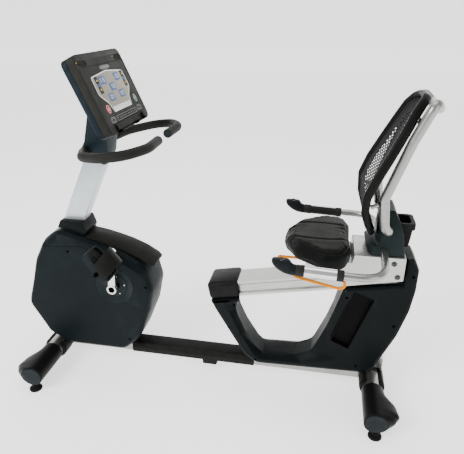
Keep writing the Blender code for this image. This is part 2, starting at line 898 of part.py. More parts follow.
# ---------------------------------------------------------------- pedals
def pedal_axes(side):
    """Pedal centre and its tread and length directions."""
    reach = crank_direction(side if side < 0 else 1)
    centre = CRANK_AXIS + reach * CRANK_LENGTH + Vector((0.0, side * PEDAL_Y, 0.0))
    tread = Vector((0.800, 0.0, 0.600)).normalized()
    length = Vector((0.600, 0.0, -0.800)).normalized()
    return centre, tread, length


def pedal_matrix(side):
    """Local X is the pedal's length, Y its width and Z its tread side."""
    centre, tread, length = pedal_axes(side)
    width = tread.cross(length)
    turn = Matrix((length, width, tread)).transposed().to_4x4()
    return Matrix.Translation(centre) @ turn


def make_pedal(name, side):
    """Foot plate with raised edges and its spindle."""
    body = flat_plate(
        name,
        rounded_outline(
            [(-0.066, -0.042, 0.02), (0.062, -0.050, 0.016), (0.062, 0.050, 0.016),
             (-0.066, 0.042, 0.02)],
            3,
        ),
        -0.013,
        0.013,
    )
    bevel(body, 0.003, 1)
    recess = flat_plate(
        name + "_recess",
        rounded_outline(
            [(-0.060, -0.036, 0.016), (0.056, -0.044, 0.012), (0.056, 0.044, 0.012),
             (-0.060, 0.036, 0.016)],
            2,
        ),
        0.004,
        0.030,
    )
    cut(body, recess)
    body = settle_part(body)
    body.matrix_world = pedal_matrix(side)
    start = PEDAL_Y - 0.045
    finish_y = CRANK_Y - 0.004
    centre, _, _ = pedal_axes(side)
    middle = Vector((centre.x, side * (start + finish_y) / 2.0, centre.z))
    spindle = cylinder(name + "_spindle", 0.0070, start - finish_y, middle, sides=24)
    join(body, spindle)
    body = settle_part(body)
    finish(hang(body, centre), "trim")


def make_strap(name, side):
    """Broad strap arched over the foot plate."""
    rings = []
    band = 0.031
    for k in range(13):
        turn = math.pi * k / 12
        row = []
        for grow in (0.0, 0.0035):
            for end in (-1.0, 1.0):
                flare = 1.0 + 0.10 * math.sin(turn)
                y = math.cos(turn) * (0.0520 + grow)
                z = 0.009 + math.sin(turn) * (0.0600 + grow)
                x = 0.012 + end * band * flare - 0.010 * math.sin(turn)
                row.append((x, y, z))
        rings.append([row[0], row[1], row[3], row[2]])
    strap = smooth(loft(name, rings), math.radians(50.0))
    strap.matrix_world = pedal_matrix(side)
    centre, _, _ = pedal_axes(side)
    finish(hang(settle_part(strap), centre), "rubber")


# ---------------------------------------------------------------- console
def console_frame():
    """Local X is across the console, Y up its face and Z out of the face."""
    up = Vector((-math.sin(CONSOLE_TILT), 0.0, math.cos(CONSOLE_TILT)))
    out = Vector((math.cos(CONSOLE_TILT), 0.0, math.sin(CONSOLE_TILT)))
    across = up.cross(out)
    turn = Matrix((across, up, out)).transposed().to_4x4()
    return Matrix.Translation(CONSOLE_CENTRE) @ turn


def console_outline(grow=0.0, radius=0.028):
    """Rounded rectangle of the console."""
    half_w = CONSOLE_SIZE[0] / 2.0 + grow
    half_h = CONSOLE_SIZE[1] / 2.0 + grow
    return rounded_outline(
        [(-half_w, -half_h, radius), (half_w, -half_h, radius),
         (half_w, half_h, radius), (-half_w, half_h, radius)],
        4,
    )


def make_console():
    """Rear housing, front bezel and display window of the console."""
    back = flat_plate("console_back", console_outline(-0.001), -0.022, 0.0, 0.007)
    back = settle_part(back)
    back.matrix_world = console_frame()
    finish(back, "shell")

    front = flat_plate("console_front", console_outline(), 0.0003, 0.026, 0.008)
    window = rounded_outline(
        [(-0.077, -0.071, 0.006), (0.077, -0.071, 0.006), (0.092, -0.036, 0.030),
         (0.130, -0.004, 0.020), (0.127, 0.058, 0.010), (0.0, 0.070, 0.000),
         (-0.127, 0.058, 0.010), (-0.130, -0.004, 0.020), (-0.092, -0.036, 0.030)],
        3,
    )
    cut(front, flat_plate("window_room", window, 0.0225, 0.04))
    ledge = flat_plate(
        "rack_room",
        [Vector(p) for p in ((-0.130, -0.132), (0.130, -0.132), (0.130, -0.104), (-0.130, -0.104))],
        0.010,
        0.04,
    )
    cut(front, ledge)
    front = settle_part(front)
    front.matrix_world = console_frame()
    finish(front, "trim")

    inner = inset(window, [GAP] * len(window))
    lens = settle_part(flat_plate("display_window", inner, 0.0228, 0.0262))
    lens.matrix_world = console_frame()
    finish(lens, "display")


def make_reading_rack():
    """Fold-out ledge in the bottom of the console face."""
    body = box("reading_rack", (0.254, 0.0215, 0.006), (0.0, -0.1152, 0.0228))
    bevel(body, 0.0015, 1)
    for end in (-1.0, 1.0):
        hook = box("rack_hook_" + str(int(end)), (0.010, 0.016, 0.014), (end * 0.118, -0.1175, 0.027))
        join(body, hook)
    pin = cylinder("rack_pin", 0.0035, 0.254, (0.0, -0.1265, 0.0220), (1.0, 0.0, 0.0), 16)
    join(body, pin)
    body = settle_part(body)
    body.matrix_world = console_frame()
    pivot = console_frame() @ Vector((0.0, -0.1265, 0.0220))
    finish(hang(body, pivot), "trim")


def make_console_neck():
    """Flared casting from the mast head to the back of the console."""
    along = Vector((math.sin(MAST_LEAN), 0.0, math.cos(MAST_LEAN)))
    across = Vector((math.cos(MAST_LEAN), 0.0, -math.sin(MAST_LEAN)))
    head = MAST_FOOT + along * (MAST_LENGTH + 0.012 + GAP)
    rings = []
    frame = console_frame()

    def section(centre, x_axis, half_x, half_y):
        corners = rounded_outline(
            [(-half_x, -half_y, 0.014), (half_x, -half_y, 0.014),
             (half_x, half_y, 0.014), (-half_x, half_y, 0.014)],
            2,
        )
        return [centre + x_axis * p[0] + Vector((0.0, p[1], 0.0)) for p in corners]

    rings.append(section(head, across, 0.044, 0.034))
    rings.append(section(head + along * 0.020 - across * 0.008, across, 0.052, 0.044))
    rings.append(section(head + along * 0.050 - across * 0.006, across, 0.050, 0.046))
    up = Vector((-math.sin(CONSOLE_TILT), 0.0, math.cos(CONSOLE_TILT)))
    base = frame @ Vector((0.0, -0.118, -0.0225))
    top = frame @ Vector((0.0, 0.020, -0.0225))
    middle = (base + top) / 2.0
    back = frame.to_3x3() @ Vector((0.0, 0.0, -1.0))
    rings.append(section(middle + back * 0.034 - up * 0.012, up * -1.0, 0.062, 0.062))
    rings.append(section(middle, up * -1.0, (top - base).length / 2.0, 0.085))
    neck = smooth(loft("console_neck", rings), math.radians(40.0))
    bar_x, _, bar_z = HANDLEBAR_HALF[0]
    cut(neck, cylinder("neck_bore", 0.0165 + GAP, 0.12, (bar_x, 0.0, bar_z), sides=24))
    finish(neck, "shell")


HANDLEBAR_HALF = (
    (-0.4400, 0.0000, 0.9480),
    (-0.4400, 0.0700, 0.9480),
    (-0.3750, 0.2050, 0.9690),
    (-0.2850, 0.2620, 0.9850),
    (-0.2050, 0.2550, 0.9960),
    (-0.1560, 0.1750, 1.0010),
    (-0.1630, 0.0500, 0.9980),
)


def make_handlebar():
    """Foam-covered bar that curves towards the rider on both sides."""
    left = [Vector((x, -y, z)) for x, y, z in reversed(HANDLEBAR_HALF)]
    right = [Vector(p) for p in HANDLEBAR_HALF[1:]]
    finish(bar("handlebar", left + right, 0.0165, bend=0.10, resolution=2, steps=3), "rubber")


# ---------------------------------------------------------------- rear housing and rail
def make_rail():
    """Extruded seat rail with a groove along each side."""
    half_y = RAIL_SIZE[0] / 2.0
    half_z = RAIL_SIZE[1] / 2.0
    profile = [
        (-half_y, -half_z),
        (half_y, -half_z),
        (half_y, -half_z + 0.010),
        (half_y - 0.008, -half_z + 0.016),
        (half_y - 0.010, 0.0),
        (half_y - 0.008, half_z - 0.018),
        (half_y, half_z - 0.010),
        (half_y, half_z),
        (-half_y, half_z),
        (-half_y, half_z - 0.010),
        (-half_y + 0.008, half_z - 0.018),
        (-half_y + 0.010, 0.0),
        (-half_y + 0.008, -half_z + 0.016),
        (-half_y, -half_z + 0.010),
    ]
    rings = []
    for distance in (0.0, RAIL_LENGTH):
        rings.append([along_rail(distance, z, y) for y, z in profile])
    rail = loft("seat_rail", rings)
    core = box(
        "rail_core",
        (RAIL_LENGTH + 0.02, RAIL_SIZE[0] - 0.030, RAIL_SIZE[1] - 0.008),
        along_rail(RAIL_LENGTH / 2.0),
        tilt=RAIL_TILT,
    )
    cut(rail, core)
    finish(rail, "rail")


def make_rail_cap():
    """Closed plastic cap over the front end of the rail."""
    outer = box(
        "rail_cap",
        (0.120, RAIL_SIZE[0] + 0.030, RAIL_SIZE[1] + 0.010),
        along_rail(0.032, 0.0045),
        tilt=RAIL_TILT,
    )
    bevel(outer, 0.014, 3)
    room = box(
        "cap_room",
        (0.200, RAIL_SIZE[0] + 2 * GAP, RAIL_SIZE[1] + 2 * GAP),
        along_rail(0.100 - GAP, 0.0),
        tilt=RAIL_TILT,
    )
    cut(outer, room)
    under = box("cap_under", (0.2, 0.2, 0.05), along_rail(0.0, -0.0560), tilt=RAIL_TILT)
    cut(outer, under)
    finish(outer, "shell")


COVER_OUTER = (
    (0.128, 0.4020, 0.000),
    (0.0140, 0.3805, 0.006),
    (0.0300, 0.3450, 0.080),
    (0.1480, 0.1400, 0.050),
    (0.2000, 0.1040, 0.050),
    (0.6200, 0.1180, 0.030),
    (0.6600, 0.1550, 0.030),
    (0.7230, 0.3050, 0.250),
    (0.7520, 0.4150, 0.150),
    (0.7620, 0.5000, 0.080),
    (0.7620, 0.5850, 0.030),
    (0.7400, 0.6250, 0.012),
    (0.7160, 0.6250, 0.000),
    (0.7160, 0.5250, 0.000),
    (0.5150, 0.4900, 0.000),
)
COVER_INNER = (
    (0.4860, 0.3700, 0.060),
    (0.4620, 0.2950, 0.080),
    (0.4150, 0.1800, 0.050),
    (0.3500, 0.1500, 0.060),
    (0.2180, 0.1340, 0.060),
    (0.1580, 0.2180, 0.100),
    (0.1060, 0.3380, 0.080),
)
COVER_CREASE = (
    (0.6050, 0.3810, 0.060),
    (0.5860, 0.3000, 0.080),
    (0.5350, 0.1800, 0.060),
    (0.3850, 0.1340, 0.060),
    (0.2000, 0.1260, 0.040),
    (0.1300, 0.2480, 0.100),
    (0.0700, 0.3800, 0.060),
)


def make_rear_cover():
    """Left and right halves of the U-shaped rear housing."""
    outline = rounded_outline(COVER_OUTER + COVER_INNER, 2)
    creased = rounded_outline(COVER_OUTER + COVER_CREASE, 2)
    outer_count = sum(3 if corner[2] > 0.0 else 1 for corner in COVER_OUTER)
    count = len(outline)
    near_rim = inset(outline, [0.004] * count)
    rim = inset(outline, [0.013] * count)

    def ring(outer_points, outer_y, inner_points, inner_y):
        made = []
        for i in range(count):
            is_outer = i < outer_count
            point = outer_points[i] if is_outer else inner_points[i]
            made.append((point[0], outer_y if is_outer else inner_y, point[1]))
        return made

    halfway = [a.lerp(b, 0.5) for a, b in zip(outline, creased)]
    rings = [
        ring(outline, -GAP, outline, -GAP),
        ring(outline, -0.056, outline, -0.040),
        ring(near_rim, -0.066, halfway, -0.060),
        ring(rim, -0.070, creased, -0.070),
    ]
    left = loft("rear_cover_left", rings, cap_start=False)
    solidify(left, 0.0030)
    left = settle(left)
    right = mirrored("rear_cover_right", left)
    for half, name in ((left, "left"), (right, "right")):
        rail = box(
            "cover_rail_" + name,
            (RAIL_LENGTH + 0.1, RAIL_SIZE[0] + 2 * GAP, RAIL_SIZE[1] + 2 * GAP),
            along_rail(RAIL_LENGTH / 2.0 - 0.03, 0.0),
            tilt=RAIL_TILT,
        )
        cut(half, rail)
        under = box(
            "cover_under_" + name,
            (RAIL_LENGTH + 0.1, 0.080, 0.012),
            along_rail(RAIL_LENGTH / 2.0 - 0.03, -RAIL_SIZE[1] / 2.0 - 0.001),
            tilt=RAIL_TILT,
        )
        cut(half, under)
        beam = box("cover_beam_" + name, (0.52, 0.0826, 0.060), (0.420, 0.0, 0.0826))
        cut(half, beam)
        foot = box("cover_post_" + name, (0.104, 0.056, 0.12), (0.680, 0.0, 0.131))
        cut(half, foot)
        smooth(half, math.radians(25.0))
        finish(half, "shell")


# ---------------------------------------------------------------- seat
def make_carriage():
    """Channel that rides on the rail and carries the seat parts."""
    outline = [
        Vector((0.4700, 0.5000)),
        Vector((0.7080, 0.5490)),
        Vector((0.7080, 0.6360)),
        Vector((0.5340, 0.6360)),
        Vector((0.5300, 0.6050)),
        Vector((0.3320, 0.6015)),
        Vector((0.3320, 0.5830)),
        Vector((0.3600, 0.5800)),
    ]
    body = plate("seat_carriage", outline, -0.088, 0.088)
    bevel(body, 0.002, 1)
    rail = box(
        "carriage_rail_room",
        (1.0, RAIL_SIZE[0] + 0.001, RAIL_SIZE[1] + 0.001),
        along_rail(RAIL_LENGTH / 2.0, 0.0),
        tilt=RAIL_TILT,
    )
    cut(body, rail)
    skirt = box("carriage_skirt_room", (1.0, 0.160, 0.2), along_rail(0.4, -0.115), tilt=RAIL_TILT)
    cut(body, skirt)
    well = plate(
        "carriage_well",
        [Vector((0.430, 0.50)), Vector((0.640, 0.53)), Vector((0.640, 0.6300)),
         Vector((0.540, 0.6290)), Vector((0.525, 0.5990)), Vector((0.430, 0.5980))],
        -0.082,
        0.082,
    )
    cut(body, well)
    join(body, box("pad_seat", (0.130, 0.120, 0.0140), (0.450, 0.0, 0.6047)))
    cut(body, box("lock_room", (0.0210, 0.0310, 0.05), along_rail(0.395, 0.055), tilt=RAIL_TILT))
    pivot = Vector(LEVER_PIVOT)
    lever_room = (pivot.x, pivot.y + 0.0385 - 0.05, pivot.z)
    cut(body, cylinder("lever_bore", 0.0051, 0.1, lever_room, sides=24))
    cut(body, box("lever_side", (0.060, 0.060, 0.080), (0.340, pivot.y - 0.0190, 0.5900)))
    finish(body, "rail")


def make_seat_column():
    """Tapered plastic column behind the seat."""
    def section(z, front, corner, rear, nose, half):
        points = [(front, -nose), (corner, -half), (rear, -half)]
        points += [(x, -y) for x, y in reversed(points)]
        return [(x, y, z) for x, y in points]

    rings = [
        section(0.6363, 0.5800, 0.5900, 0.7030, 0.060, 0.081),
        section(0.6680, 0.5700, 0.5980, 0.6980, 0.055, 0.081),
        section(0.6760, 0.6030, 0.6120, 0.6960, 0.040, 0.080),
        section(0.7200, 0.6040, 0.6180, 0.6900, 0.030, 0.079),
        section(0.7550, 0.6060, 0.6220, 0.6770, 0.030, 0.073),
        section(0.7970, 0.6120, 0.6280, 0.6550, 0.030, 0.060),
    ]
    column = loft("seat_column", rings)
    bevel(column, 0.004, 1, math.radians(25.0))
    bore = cylinder("column_handle_bore", HANDLE_RADIUS + GAP, 0.3, (0.632, 0.0, 0.655), sides=20)
    cut(column, bore)
    bore = cylinder("column_tube_bore", 0.0160 + GAP, 0.3, (0.6360, 0.0, 0.735), sides=20)
    cut(column, bore)
    cut(column, box("holder_notch", (0.2, 0.2, 0.4), (0.7675, 0.0715, 0.8475)))
    finish(column, "shell")


def make_backrest_tube():
    """Bent tube behind the backrest, its lower part crossing the column."""
    half = [
        (0.6360, 0.0000, 0.7350),
        (0.6360, 0.1000, 0.7350),
        (0.6170, 0.1200, 0.7600),
        (0.6050, 0.1200, 0.8580),
        (0.6660, 0.1200, 1.0450),
        (0.7160, 0.1200, 1.1650),
        (0.7380, 0.0600, 1.1380),
    ]
    lower = [Vector((x, -y, z)) for x, y, z in half]
    upper = [Vector((x, y, z)) for x, y, z in reversed(half)]
    tube = bar("backrest_tube", lower + upper[:-1], 0.0160, bend=0.035, resolution=2, steps=3)
    for side in (-1.0, 1.0):
        for start, end in STRUTS:
            start = Vector((start[0], side * start[1], start[2]))
            end = Vector((end[0], side * end[1], end[2]))
            centre = (start + end) / 2.0
            length = (end - start).length
            join(tube, cylinder("backrest_strut", STRUT_RADIUS, length, centre, end - start, 16))
    finish(tube, "silver")


BACK_PROFILE = (
    (0.705, 0.572, 0.055),
    (0.745, 0.554, 0.090),
    (0.800, 0.536, 0.125),
    (0.865, 0.533, 0.150),
    (0.935, 0.559, 0.152),
    (1.010, 0.595, 0.142),
    (1.085, 0.631, 0.125),
    (1.140, 0.657, 0.105),
    (1.170, 0.678, 0.075),
)


def back_point(z, share):
    """A point on the sitter's side of the backrest: share runs -1 to 1 across it."""
    rows = BACK_PROFILE
    for low, high in zip(rows[:-1], rows[1:]):
        if z <= high[0]:
            t = (z - low[0]) / (high[0] - low[0])
            x = low[1] + (high[1] - low[1]) * t
            width = low[2] + (high[2] - low[2]) * t
            break
    curve = 0.020 * (1.0 - share * share)
    return Vector((x + curve, width * share, z))


def make_backrest():
    """Thick rim and a thin panel inside it."""
    path = [back_point(row[0], -1.0) for row in BACK_PROFILE]
    path.append(Vector((0.691, -0.040, 1.183)))
    path.append(Vector((0.691, 0.040, 1.183)))
    path += [back_point(row[0], 1.0) for row in reversed(BACK_PROFILE)]
    path.append(Vector((0.570, 0.0, 0.690)))
    path = rounded_path(path, 0.05, 1, cyclic=True)
    count = len(path)
    rings = []
    for i, place in enumerate(path):
        along = (path[(i + 1) % count] - path[i - 1]).normalized()
        rearward = Vector((0.90, 0.0, -0.43))
        rearward = (rearward - along * rearward.dot(along)).normalized()
        inward = along.cross(rearward).normalized()
        if inward.dot(Vector((0.62, 0.0, 0.95)) - place) < 0.0:
            inward = inward * -1.0
        depth = 0.020 + 0.010 * min(max((place.z - 0.70) / 0.20, 0.0), 1.0)
        thick = 0.021
        ring = []
        for a, b in ((0.15, 0.0), (0.8, 0.1), (1.0, 0.35), (1.0, 0.8), (0.7, 1.0),
                     (0.25, 1.0), (0.0, 0.75), (0.0, 0.25)):
            ring.append(place + inward * (thick * a) + rearward * (depth * b))
        rings.append(ring)
    frame = loft("backrest_frame", rings, cyclic_rings=True)
    finish(smooth(frame, math.radians(50.0)), "trim")


def make_backrest_panel():
    """Mesh panel stretched inside the rim."""
    rows = []
    for row in BACK_PROFILE:
        z = min(max(row[0], 0.740), 1.134)
        rows.append(z)
    front = []
    for z in rows:
        line = []
        for k in range(9):
            share = -1.0 + 2.0 * k / 8
            point = back_point(z, share)
            edge = back_point(z, 1.0).y
            point.y = share * (edge - 0.0270)
            line.append(point + Vector((0.009, 0.0, -0.004)))
        front.append(line)
    shape = bmesh.new()
    grid = [[shape.verts.new(p) for p in line] for line in front]
    for low, high in zip(grid[:-1], grid[1:]):
        for k in range(8):
            shape.faces.new((low[k], low[k + 1], high[k + 1], high[k]))
    bmesh.ops.recalc_face_normals(shape, faces=shape.faces)
    panel = from_bmesh("backrest_mesh", shape)
    solidify(panel, 0.004)
    finish(smooth(panel), "rubber")


def make_seat_pad():
    """Padded seat, wider at the rear than at the nose."""
    outline = rounded_outline(
        [(0.286, -0.045, 0.04), (0.286, 0.045, 0.04), (0.330, 0.125, 0.08),
         (0.425, 0.192, 0.07), (0.500, 0.180, 0.05), (0.527, 0.110, 0.05),
         (0.527, -0.110, 0.05), (0.500, -0.180, 0.05), (0.425, -0.192, 0.07),
         (0.330, -0.125, 0.08)],
        3,
    )
    rings = []
    for z, shrink, drop in ((0.6120, 0.010, 0.0), (0.6200, 0.002, 0.0), (0.6500, 0.0, 0.0),
                            (0.6700, 0.006, 0.0), (0.6820, 0.022, 0.0)):
        points = inset(outline, [shrink] * len(outline))
        rings.append([(p[0], p[1], z) for p in points])
    finish(smooth(loft("seat_pad", rings), math.radians(50.0)), "vinyl")


def make_seat_handlebar():
    """Tube through the column with a forward arm on each side."""
    half = [
        (0.6320, 0.0000, 0.6550),
        (0.6320, 0.0900, 0.6550),
        HANDLE_CORNER,
        HANDLE_END,
    ]
    left = [Vector((x, -y, z)) for x, y, z in reversed(half)]
    right = [Vector(p) for p in half[1:]]
    tube = bar("seat_handlebar", left + right, HANDLE_RADIUS, bend=0.10, resolution=2, steps=3)
    finish(tube, "silver")


def make_grip(name, side):
    """Hand grip with an upturned nose that holds the remote button."""
    y = side * GRIP_Y
    path = [(0.4940, y, 0.6500), (0.4400, y, 0.6520), (0.3660, y, 0.6555),
            (0.3200, y, 0.6600), (0.2820, y, 0.6800)]
    grip = bar(name, path, GRIP_RADIUS, bend=0.04, resolution=2, steps=3)
    mirror = Vector((1.0, side, 1.0))
    corner = Vector(HANDLE_CORNER) * mirror
    end = Vector(HANDLE_END) * mirror
    direction = (end - corner).normalized()
    room_start = corner.lerp(end, 0.30)
    room_end = end + direction * GAP
    centre = (room_end + room_start) / 2.0
    length = (room_end - room_start).length
    cut(grip, cylinder(name + "_room", HANDLE_RADIUS + GAP, length, centre, direction, 32))
    button = remote_pivot(side)
    cut(grip, cylinder(name + "_button_room", 0.0086, 0.022, button, remote_axis(), 24))
    finish(grip, "rubber")


def remote_axis():
    """Outward direction of the remote buttons."""
    return Vector((-0.10, 0.0, 0.995)).normalized()


def remote_pivot(side):
    """Centre of a remote button's mouth on the grip's nose."""
    return Vector((0.2960, side * GRIP_Y, 0.6915))


def make_button(name, side):
    """Round push button in the nose of a grip."""
    place = remote_pivot(side) + remote_axis() * -0.0015
    button = cylinder(name, 0.0081, 0.012, place, remote_axis(), 20)
    bevel(button, 0.0012, 1)
    finish(hang(settle_part(button), place), "rubber")


def make_seat_lever():
    """Wire bail under the left grip that frees the seat."""
    x, y, z = LEVER_PIVOT
    path = [(x, y + 0.038, z), (x, y, z), (0.2690, -0.0870, 0.6085),
            (0.3440, -0.2380, 0.6150), (0.3620, -0.2440, 0.6145), (0.4860, -0.2440, 0.5885),
            (0.5020, -0.2440, 0.5960), (0.4990, -0.2440, 0.6170)]
    lever = bar("seat_lever", path, 0.0048, bend=0.015, resolution=2, steps=3)
    finish(hang(lever, LEVER_PIVOT), "orange")


def make_lock_pad():
    """Friction pad that clamps the carriage to the rail."""
    place = along_rail(0.395, RAIL_SIZE[1] / 2.0 + 0.0175)
    pad = box("rail_lock", (0.020, 0.030, 0.034), place, tilt=RAIL_TILT)
    finish(hang(pad, place), "iron")


def holder_outline(shrink):
    """Rounded rectangle of the bottle holder, smaller all round by shrink."""
    near, far = 0.6680 + shrink, 0.7350 - shrink
    left, right = -0.0280 + shrink, 0.0740 - shrink
    return rounded_outline(
        [(near, left, 0.004), (far, left, 0.014), (far, right, 0.014), (near, right, 0.004)], 2
    )


def make_bottle_holder():
    """Open rectangular holder behind the column."""
    rings = []
    for z, shrink in ((0.6480, 0.012), (0.7160, 0.006), (0.7165, 0.0), (0.7400, 0.0)):
        rings.append([(p[0], p[1], z) for p in holder_outline(shrink)])
    holder = loft("bottle_holder", rings)
    cut(holder, flat_plate("holder_room", holder_outline(0.014), 0.652, 0.76))
    finish(holder, "trim")


make_base_beam()
make_stabiliser("front_stabiliser", FRONT_X)
make_stabiliser("rear_stabiliser", REAR_X)
for label, end_x, outward in (("front", FRONT_X, -1.0), ("rear", REAR_X, 1.0)):
    for hand, sign in (("left", -1.0), ("right", 1.0)):
        make_end_cap("end_cap_" + label + "_" + hand, end_x, sign, outward)
        make_foot("foot_" + label + "_" + hand, end_x + outward * FOOT_OFFSET, sign)
make_saddle("front_saddle", FRONT_X, 1.0)
make_saddle("rear_saddle", REAR_X, -1.0)
make_beam_cover()
make_centre_foot()
make_drive_frame()
make_rear_post()
make_front_post()
make_mast()
make_shroud()
make_shroud_top()
make_mast_collar()
make_hub_cover("hub_cover_left", -1.0)
make_hub_cover("hub_cover_right", 1.0)
make_crank_axle()
make_crank("crank_left", -1.0)
make_crank("crank_right", 1.0)
make_drive_pulley()
make_flywheel()
make_belt()
make_brake()
make_pedal("pedal_left", -1.0)
make_pedal("pedal_right", 1.0)
make_strap("strap_left", -1.0)
make_strap("strap_right", 1.0)
make_console()
make_reading_rack()
make_console_neck()
make_handlebar()
make_rail()
make_rail_cap()
make_rear_cover()
make_carriage()
make_seat_column()
make_backrest_tube()
make_backrest()
make_backrest_panel()
make_seat_pad()
make_seat_handlebar()
make_grip("grip_left", -1.0)
make_grip("grip_right", 1.0)
make_button("remote_button_left", -1.0)
make_button("remote_button_right", 1.0)
make_seat_lever()
make_lock_pad()
make_bottle_holder()
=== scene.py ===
import json
import math

import bmesh
import bpy
from mathutils.bvhtree import BVHTree
from mathutils import Matrix, Vector


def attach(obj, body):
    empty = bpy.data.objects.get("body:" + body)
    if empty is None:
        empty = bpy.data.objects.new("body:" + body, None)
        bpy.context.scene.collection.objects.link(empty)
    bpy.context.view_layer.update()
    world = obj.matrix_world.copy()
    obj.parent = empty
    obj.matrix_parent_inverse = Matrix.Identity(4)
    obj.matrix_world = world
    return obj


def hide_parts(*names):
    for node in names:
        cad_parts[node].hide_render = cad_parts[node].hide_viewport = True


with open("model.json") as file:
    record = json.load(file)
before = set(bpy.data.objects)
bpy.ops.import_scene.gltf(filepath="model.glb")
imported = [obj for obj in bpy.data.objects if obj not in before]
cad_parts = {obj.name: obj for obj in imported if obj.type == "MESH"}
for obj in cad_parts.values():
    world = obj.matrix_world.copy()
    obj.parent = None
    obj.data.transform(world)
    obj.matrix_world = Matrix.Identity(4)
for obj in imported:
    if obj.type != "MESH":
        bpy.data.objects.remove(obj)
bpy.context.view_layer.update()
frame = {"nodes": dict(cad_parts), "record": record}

NODES = frame["nodes"]
BODIES = frame["record"]["behaviour"]["bodies"]
NODE_BODY = {node: body for body, nodes in BODIES.items() for node in nodes}


# ------------------------------------------------------------ camera
YAW = math.radians(10.62)
PITCH = math.radians(23.77)
camera_data = bpy.data.cameras.new("camera")
camera_data.lens = 37.81
camera_data.sensor_width = 36.0
camera_data.clip_end = 200.0
camera = bpy.data.objects.new("camera", camera_data)
bpy.context.scene.collection.objects.link(camera)
camera.location = (0.3956, -1.6419, 1.404)
look = Vector((-math.sin(YAW) * math.cos(PITCH), math.cos(YAW) * math.cos(PITCH), -math.sin(PITCH)))
camera.rotation_euler = look.to_track_quat("-Z", "Y").to_euler()
bpy.context.scene.camera = camera


# ------------------------------------------------------------ materials
class Shader:
    """Builds one procedural node material."""

    def __init__(self, name, colour, roughness, metallic=0.0, specular=0.5):
        self.material = bpy.data.materials.new(name)
        self.material.use_nodes = True
        self.tree = self.material.node_tree
        self.shader = self.tree.nodes["Principled BSDF"]
        self.shader.inputs["Base Color"].default_value = (*colour, 1.0)
        self.shader.inputs["Metallic"].default_value = metallic
        self.shader.inputs["Specular IOR Level"].default_value = specular
        self.colour = colour
        self.roughness = roughness
        self.coords = self.node("ShaderNodeTexCoord").outputs["Object"]

    def put(self, socket, value):
        if isinstance(value, bpy.types.NodeSocket):
            self.tree.links.new(value, socket)
        else:
            socket.default_value = value

    def node(self, kind, **inputs):
        made = self.tree.nodes.new(kind)
        for key, value in inputs.items():
            self.put(made.inputs[key.replace("_", " ")], value)
        return made

    def noise(self, scale, detail=3.0, stretch=None):
        vector = self.coords
        if stretch:
            vector = self.node("ShaderNodeMapping", Vector=vector, Scale=stretch).outputs["Vector"]
        return self.node("ShaderNodeTexNoise", Vector=vector, Scale=scale, Detail=detail).outputs["Fac"]

    def cells(self, scale, feature="F1"):
        made = self.node("ShaderNodeTexVoronoi", Vector=self.coords, Scale=scale)
        made.feature = feature
        return made.outputs["Distance"]

    def span(self, value, low, high, low_in=0.0, high_in=1.0):
        """The value moved from the range low_in to high_in into low to high."""
        return self.node(
            "ShaderNodeMapRange", Value=value, From_Min=low_in, From_Max=high_in, To_Min=low, To_Max=high
        ).outputs["Result"]

    def times(self, a, b):
        made = self.tree.nodes.new("ShaderNodeMath")
        made.operation = "MULTIPLY"
        self.put(made.inputs[0], a)
        self.put(made.inputs[1], b)
        return made.outputs[0]

    def mix(self, share, low, high):
        made = self.tree.nodes.new("ShaderNodeMix")
        made.data_type = "RGBA"
        for index, value in ((0, share), (6, low), (7, high)):
            self.put(made.inputs[index], (*value, 1.0) if isinstance(value, tuple) else value)
        return made.outputs[2]

    def worn(self, strength):
        """Where convex edges are rubbed, broken up by noise."""
        geometry = self.node("ShaderNodeNewGeometry")
        edge = self.span(geometry.outputs["Pointiness"], 0.0, 1.0, 0.512, 0.56)
        patchy = self.span(self.noise(38.0, 4.0), 0.2, 1.0, 0.35, 0.65)
        return self.times(self.times(edge, patchy), strength)

    def finish(self, tint, spread, edge=0.0, edge_colour=None, tint_scale=7.0):
        """Colour and roughness variation, with paler worn edges on top."""
        low = tuple(c * (1.0 - tint) for c in self.colour)
        high = tuple(min(1.0, c * (1.0 + tint)) for c in self.colour)
        colour = self.mix(self.span(self.noise(tint_scale, 4.0), 0.0, 1.0, 0.3, 0.7), low, high)
        if edge:
            colour = self.mix(self.worn(edge), colour, edge_colour)
        self.put(self.shader.inputs["Base Color"], colour)
        low, high = max(0.02, self.roughness - spread), min(1.0, self.roughness + spread)
        self.put(self.shader.inputs["Roughness"], self.span(self.noise(16.0, 5.0), low, high, 0.3, 0.7))

    def bump(self, height, strength, distance):
        """Adds one layer of bump over the layers already there."""
        made = self.node("ShaderNodeBump", Height=height, Strength=strength, Distance=distance)
        normal = self.shader.inputs["Normal"]
        if normal.links:
            self.tree.links.new(normal.links[0].from_socket, made.inputs["Normal"])
        self.tree.links.new(made.outputs["Normal"], normal)


def moulded(name, colour, roughness, grain=900.0, depth=0.35, edge=0.25, specular=0.06):
    """Moulded plastic: spark-eroded grain, faint flow marks and rubbed edges."""
    made = Shader(name, colour, roughness, specular=specular)
    made.finish(0.14, 0.07, edge, tuple(min(1.0, c * 2.2 + 0.01) for c in colour))
    made.bump(made.cells(grain), depth, 0.00012)
    made.bump(made.noise(22.0, 2.0), 0.12, 0.0006)
    return made.material


def painted_metal(name, colour, roughness, metallic, flake=0.0, brushed=None):
    """Painted or anodised metal with orange peel, brushing and handling marks."""
    made = Shader(name, colour, roughness, metallic)
    made.finish(0.05, 0.06, 0.2, tuple(min(0.9, c * 1.25) for c in colour), 11.0)
    if brushed:
        made.bump(made.noise(420.0, 2.0, brushed), 0.22, 0.00008)
    made.bump(made.noise(620.0, 2.0), 0.1, 0.00006)
    made.bump(made.noise(9.0, 2.0), 0.1, 0.0008)
    if flake:
        sparkle = made.span(made.cells(2600.0), 0.0, flake, 0.0, 0.5)
        made.put(made.shader.inputs["Coat Weight"], sparkle)
    return made.material


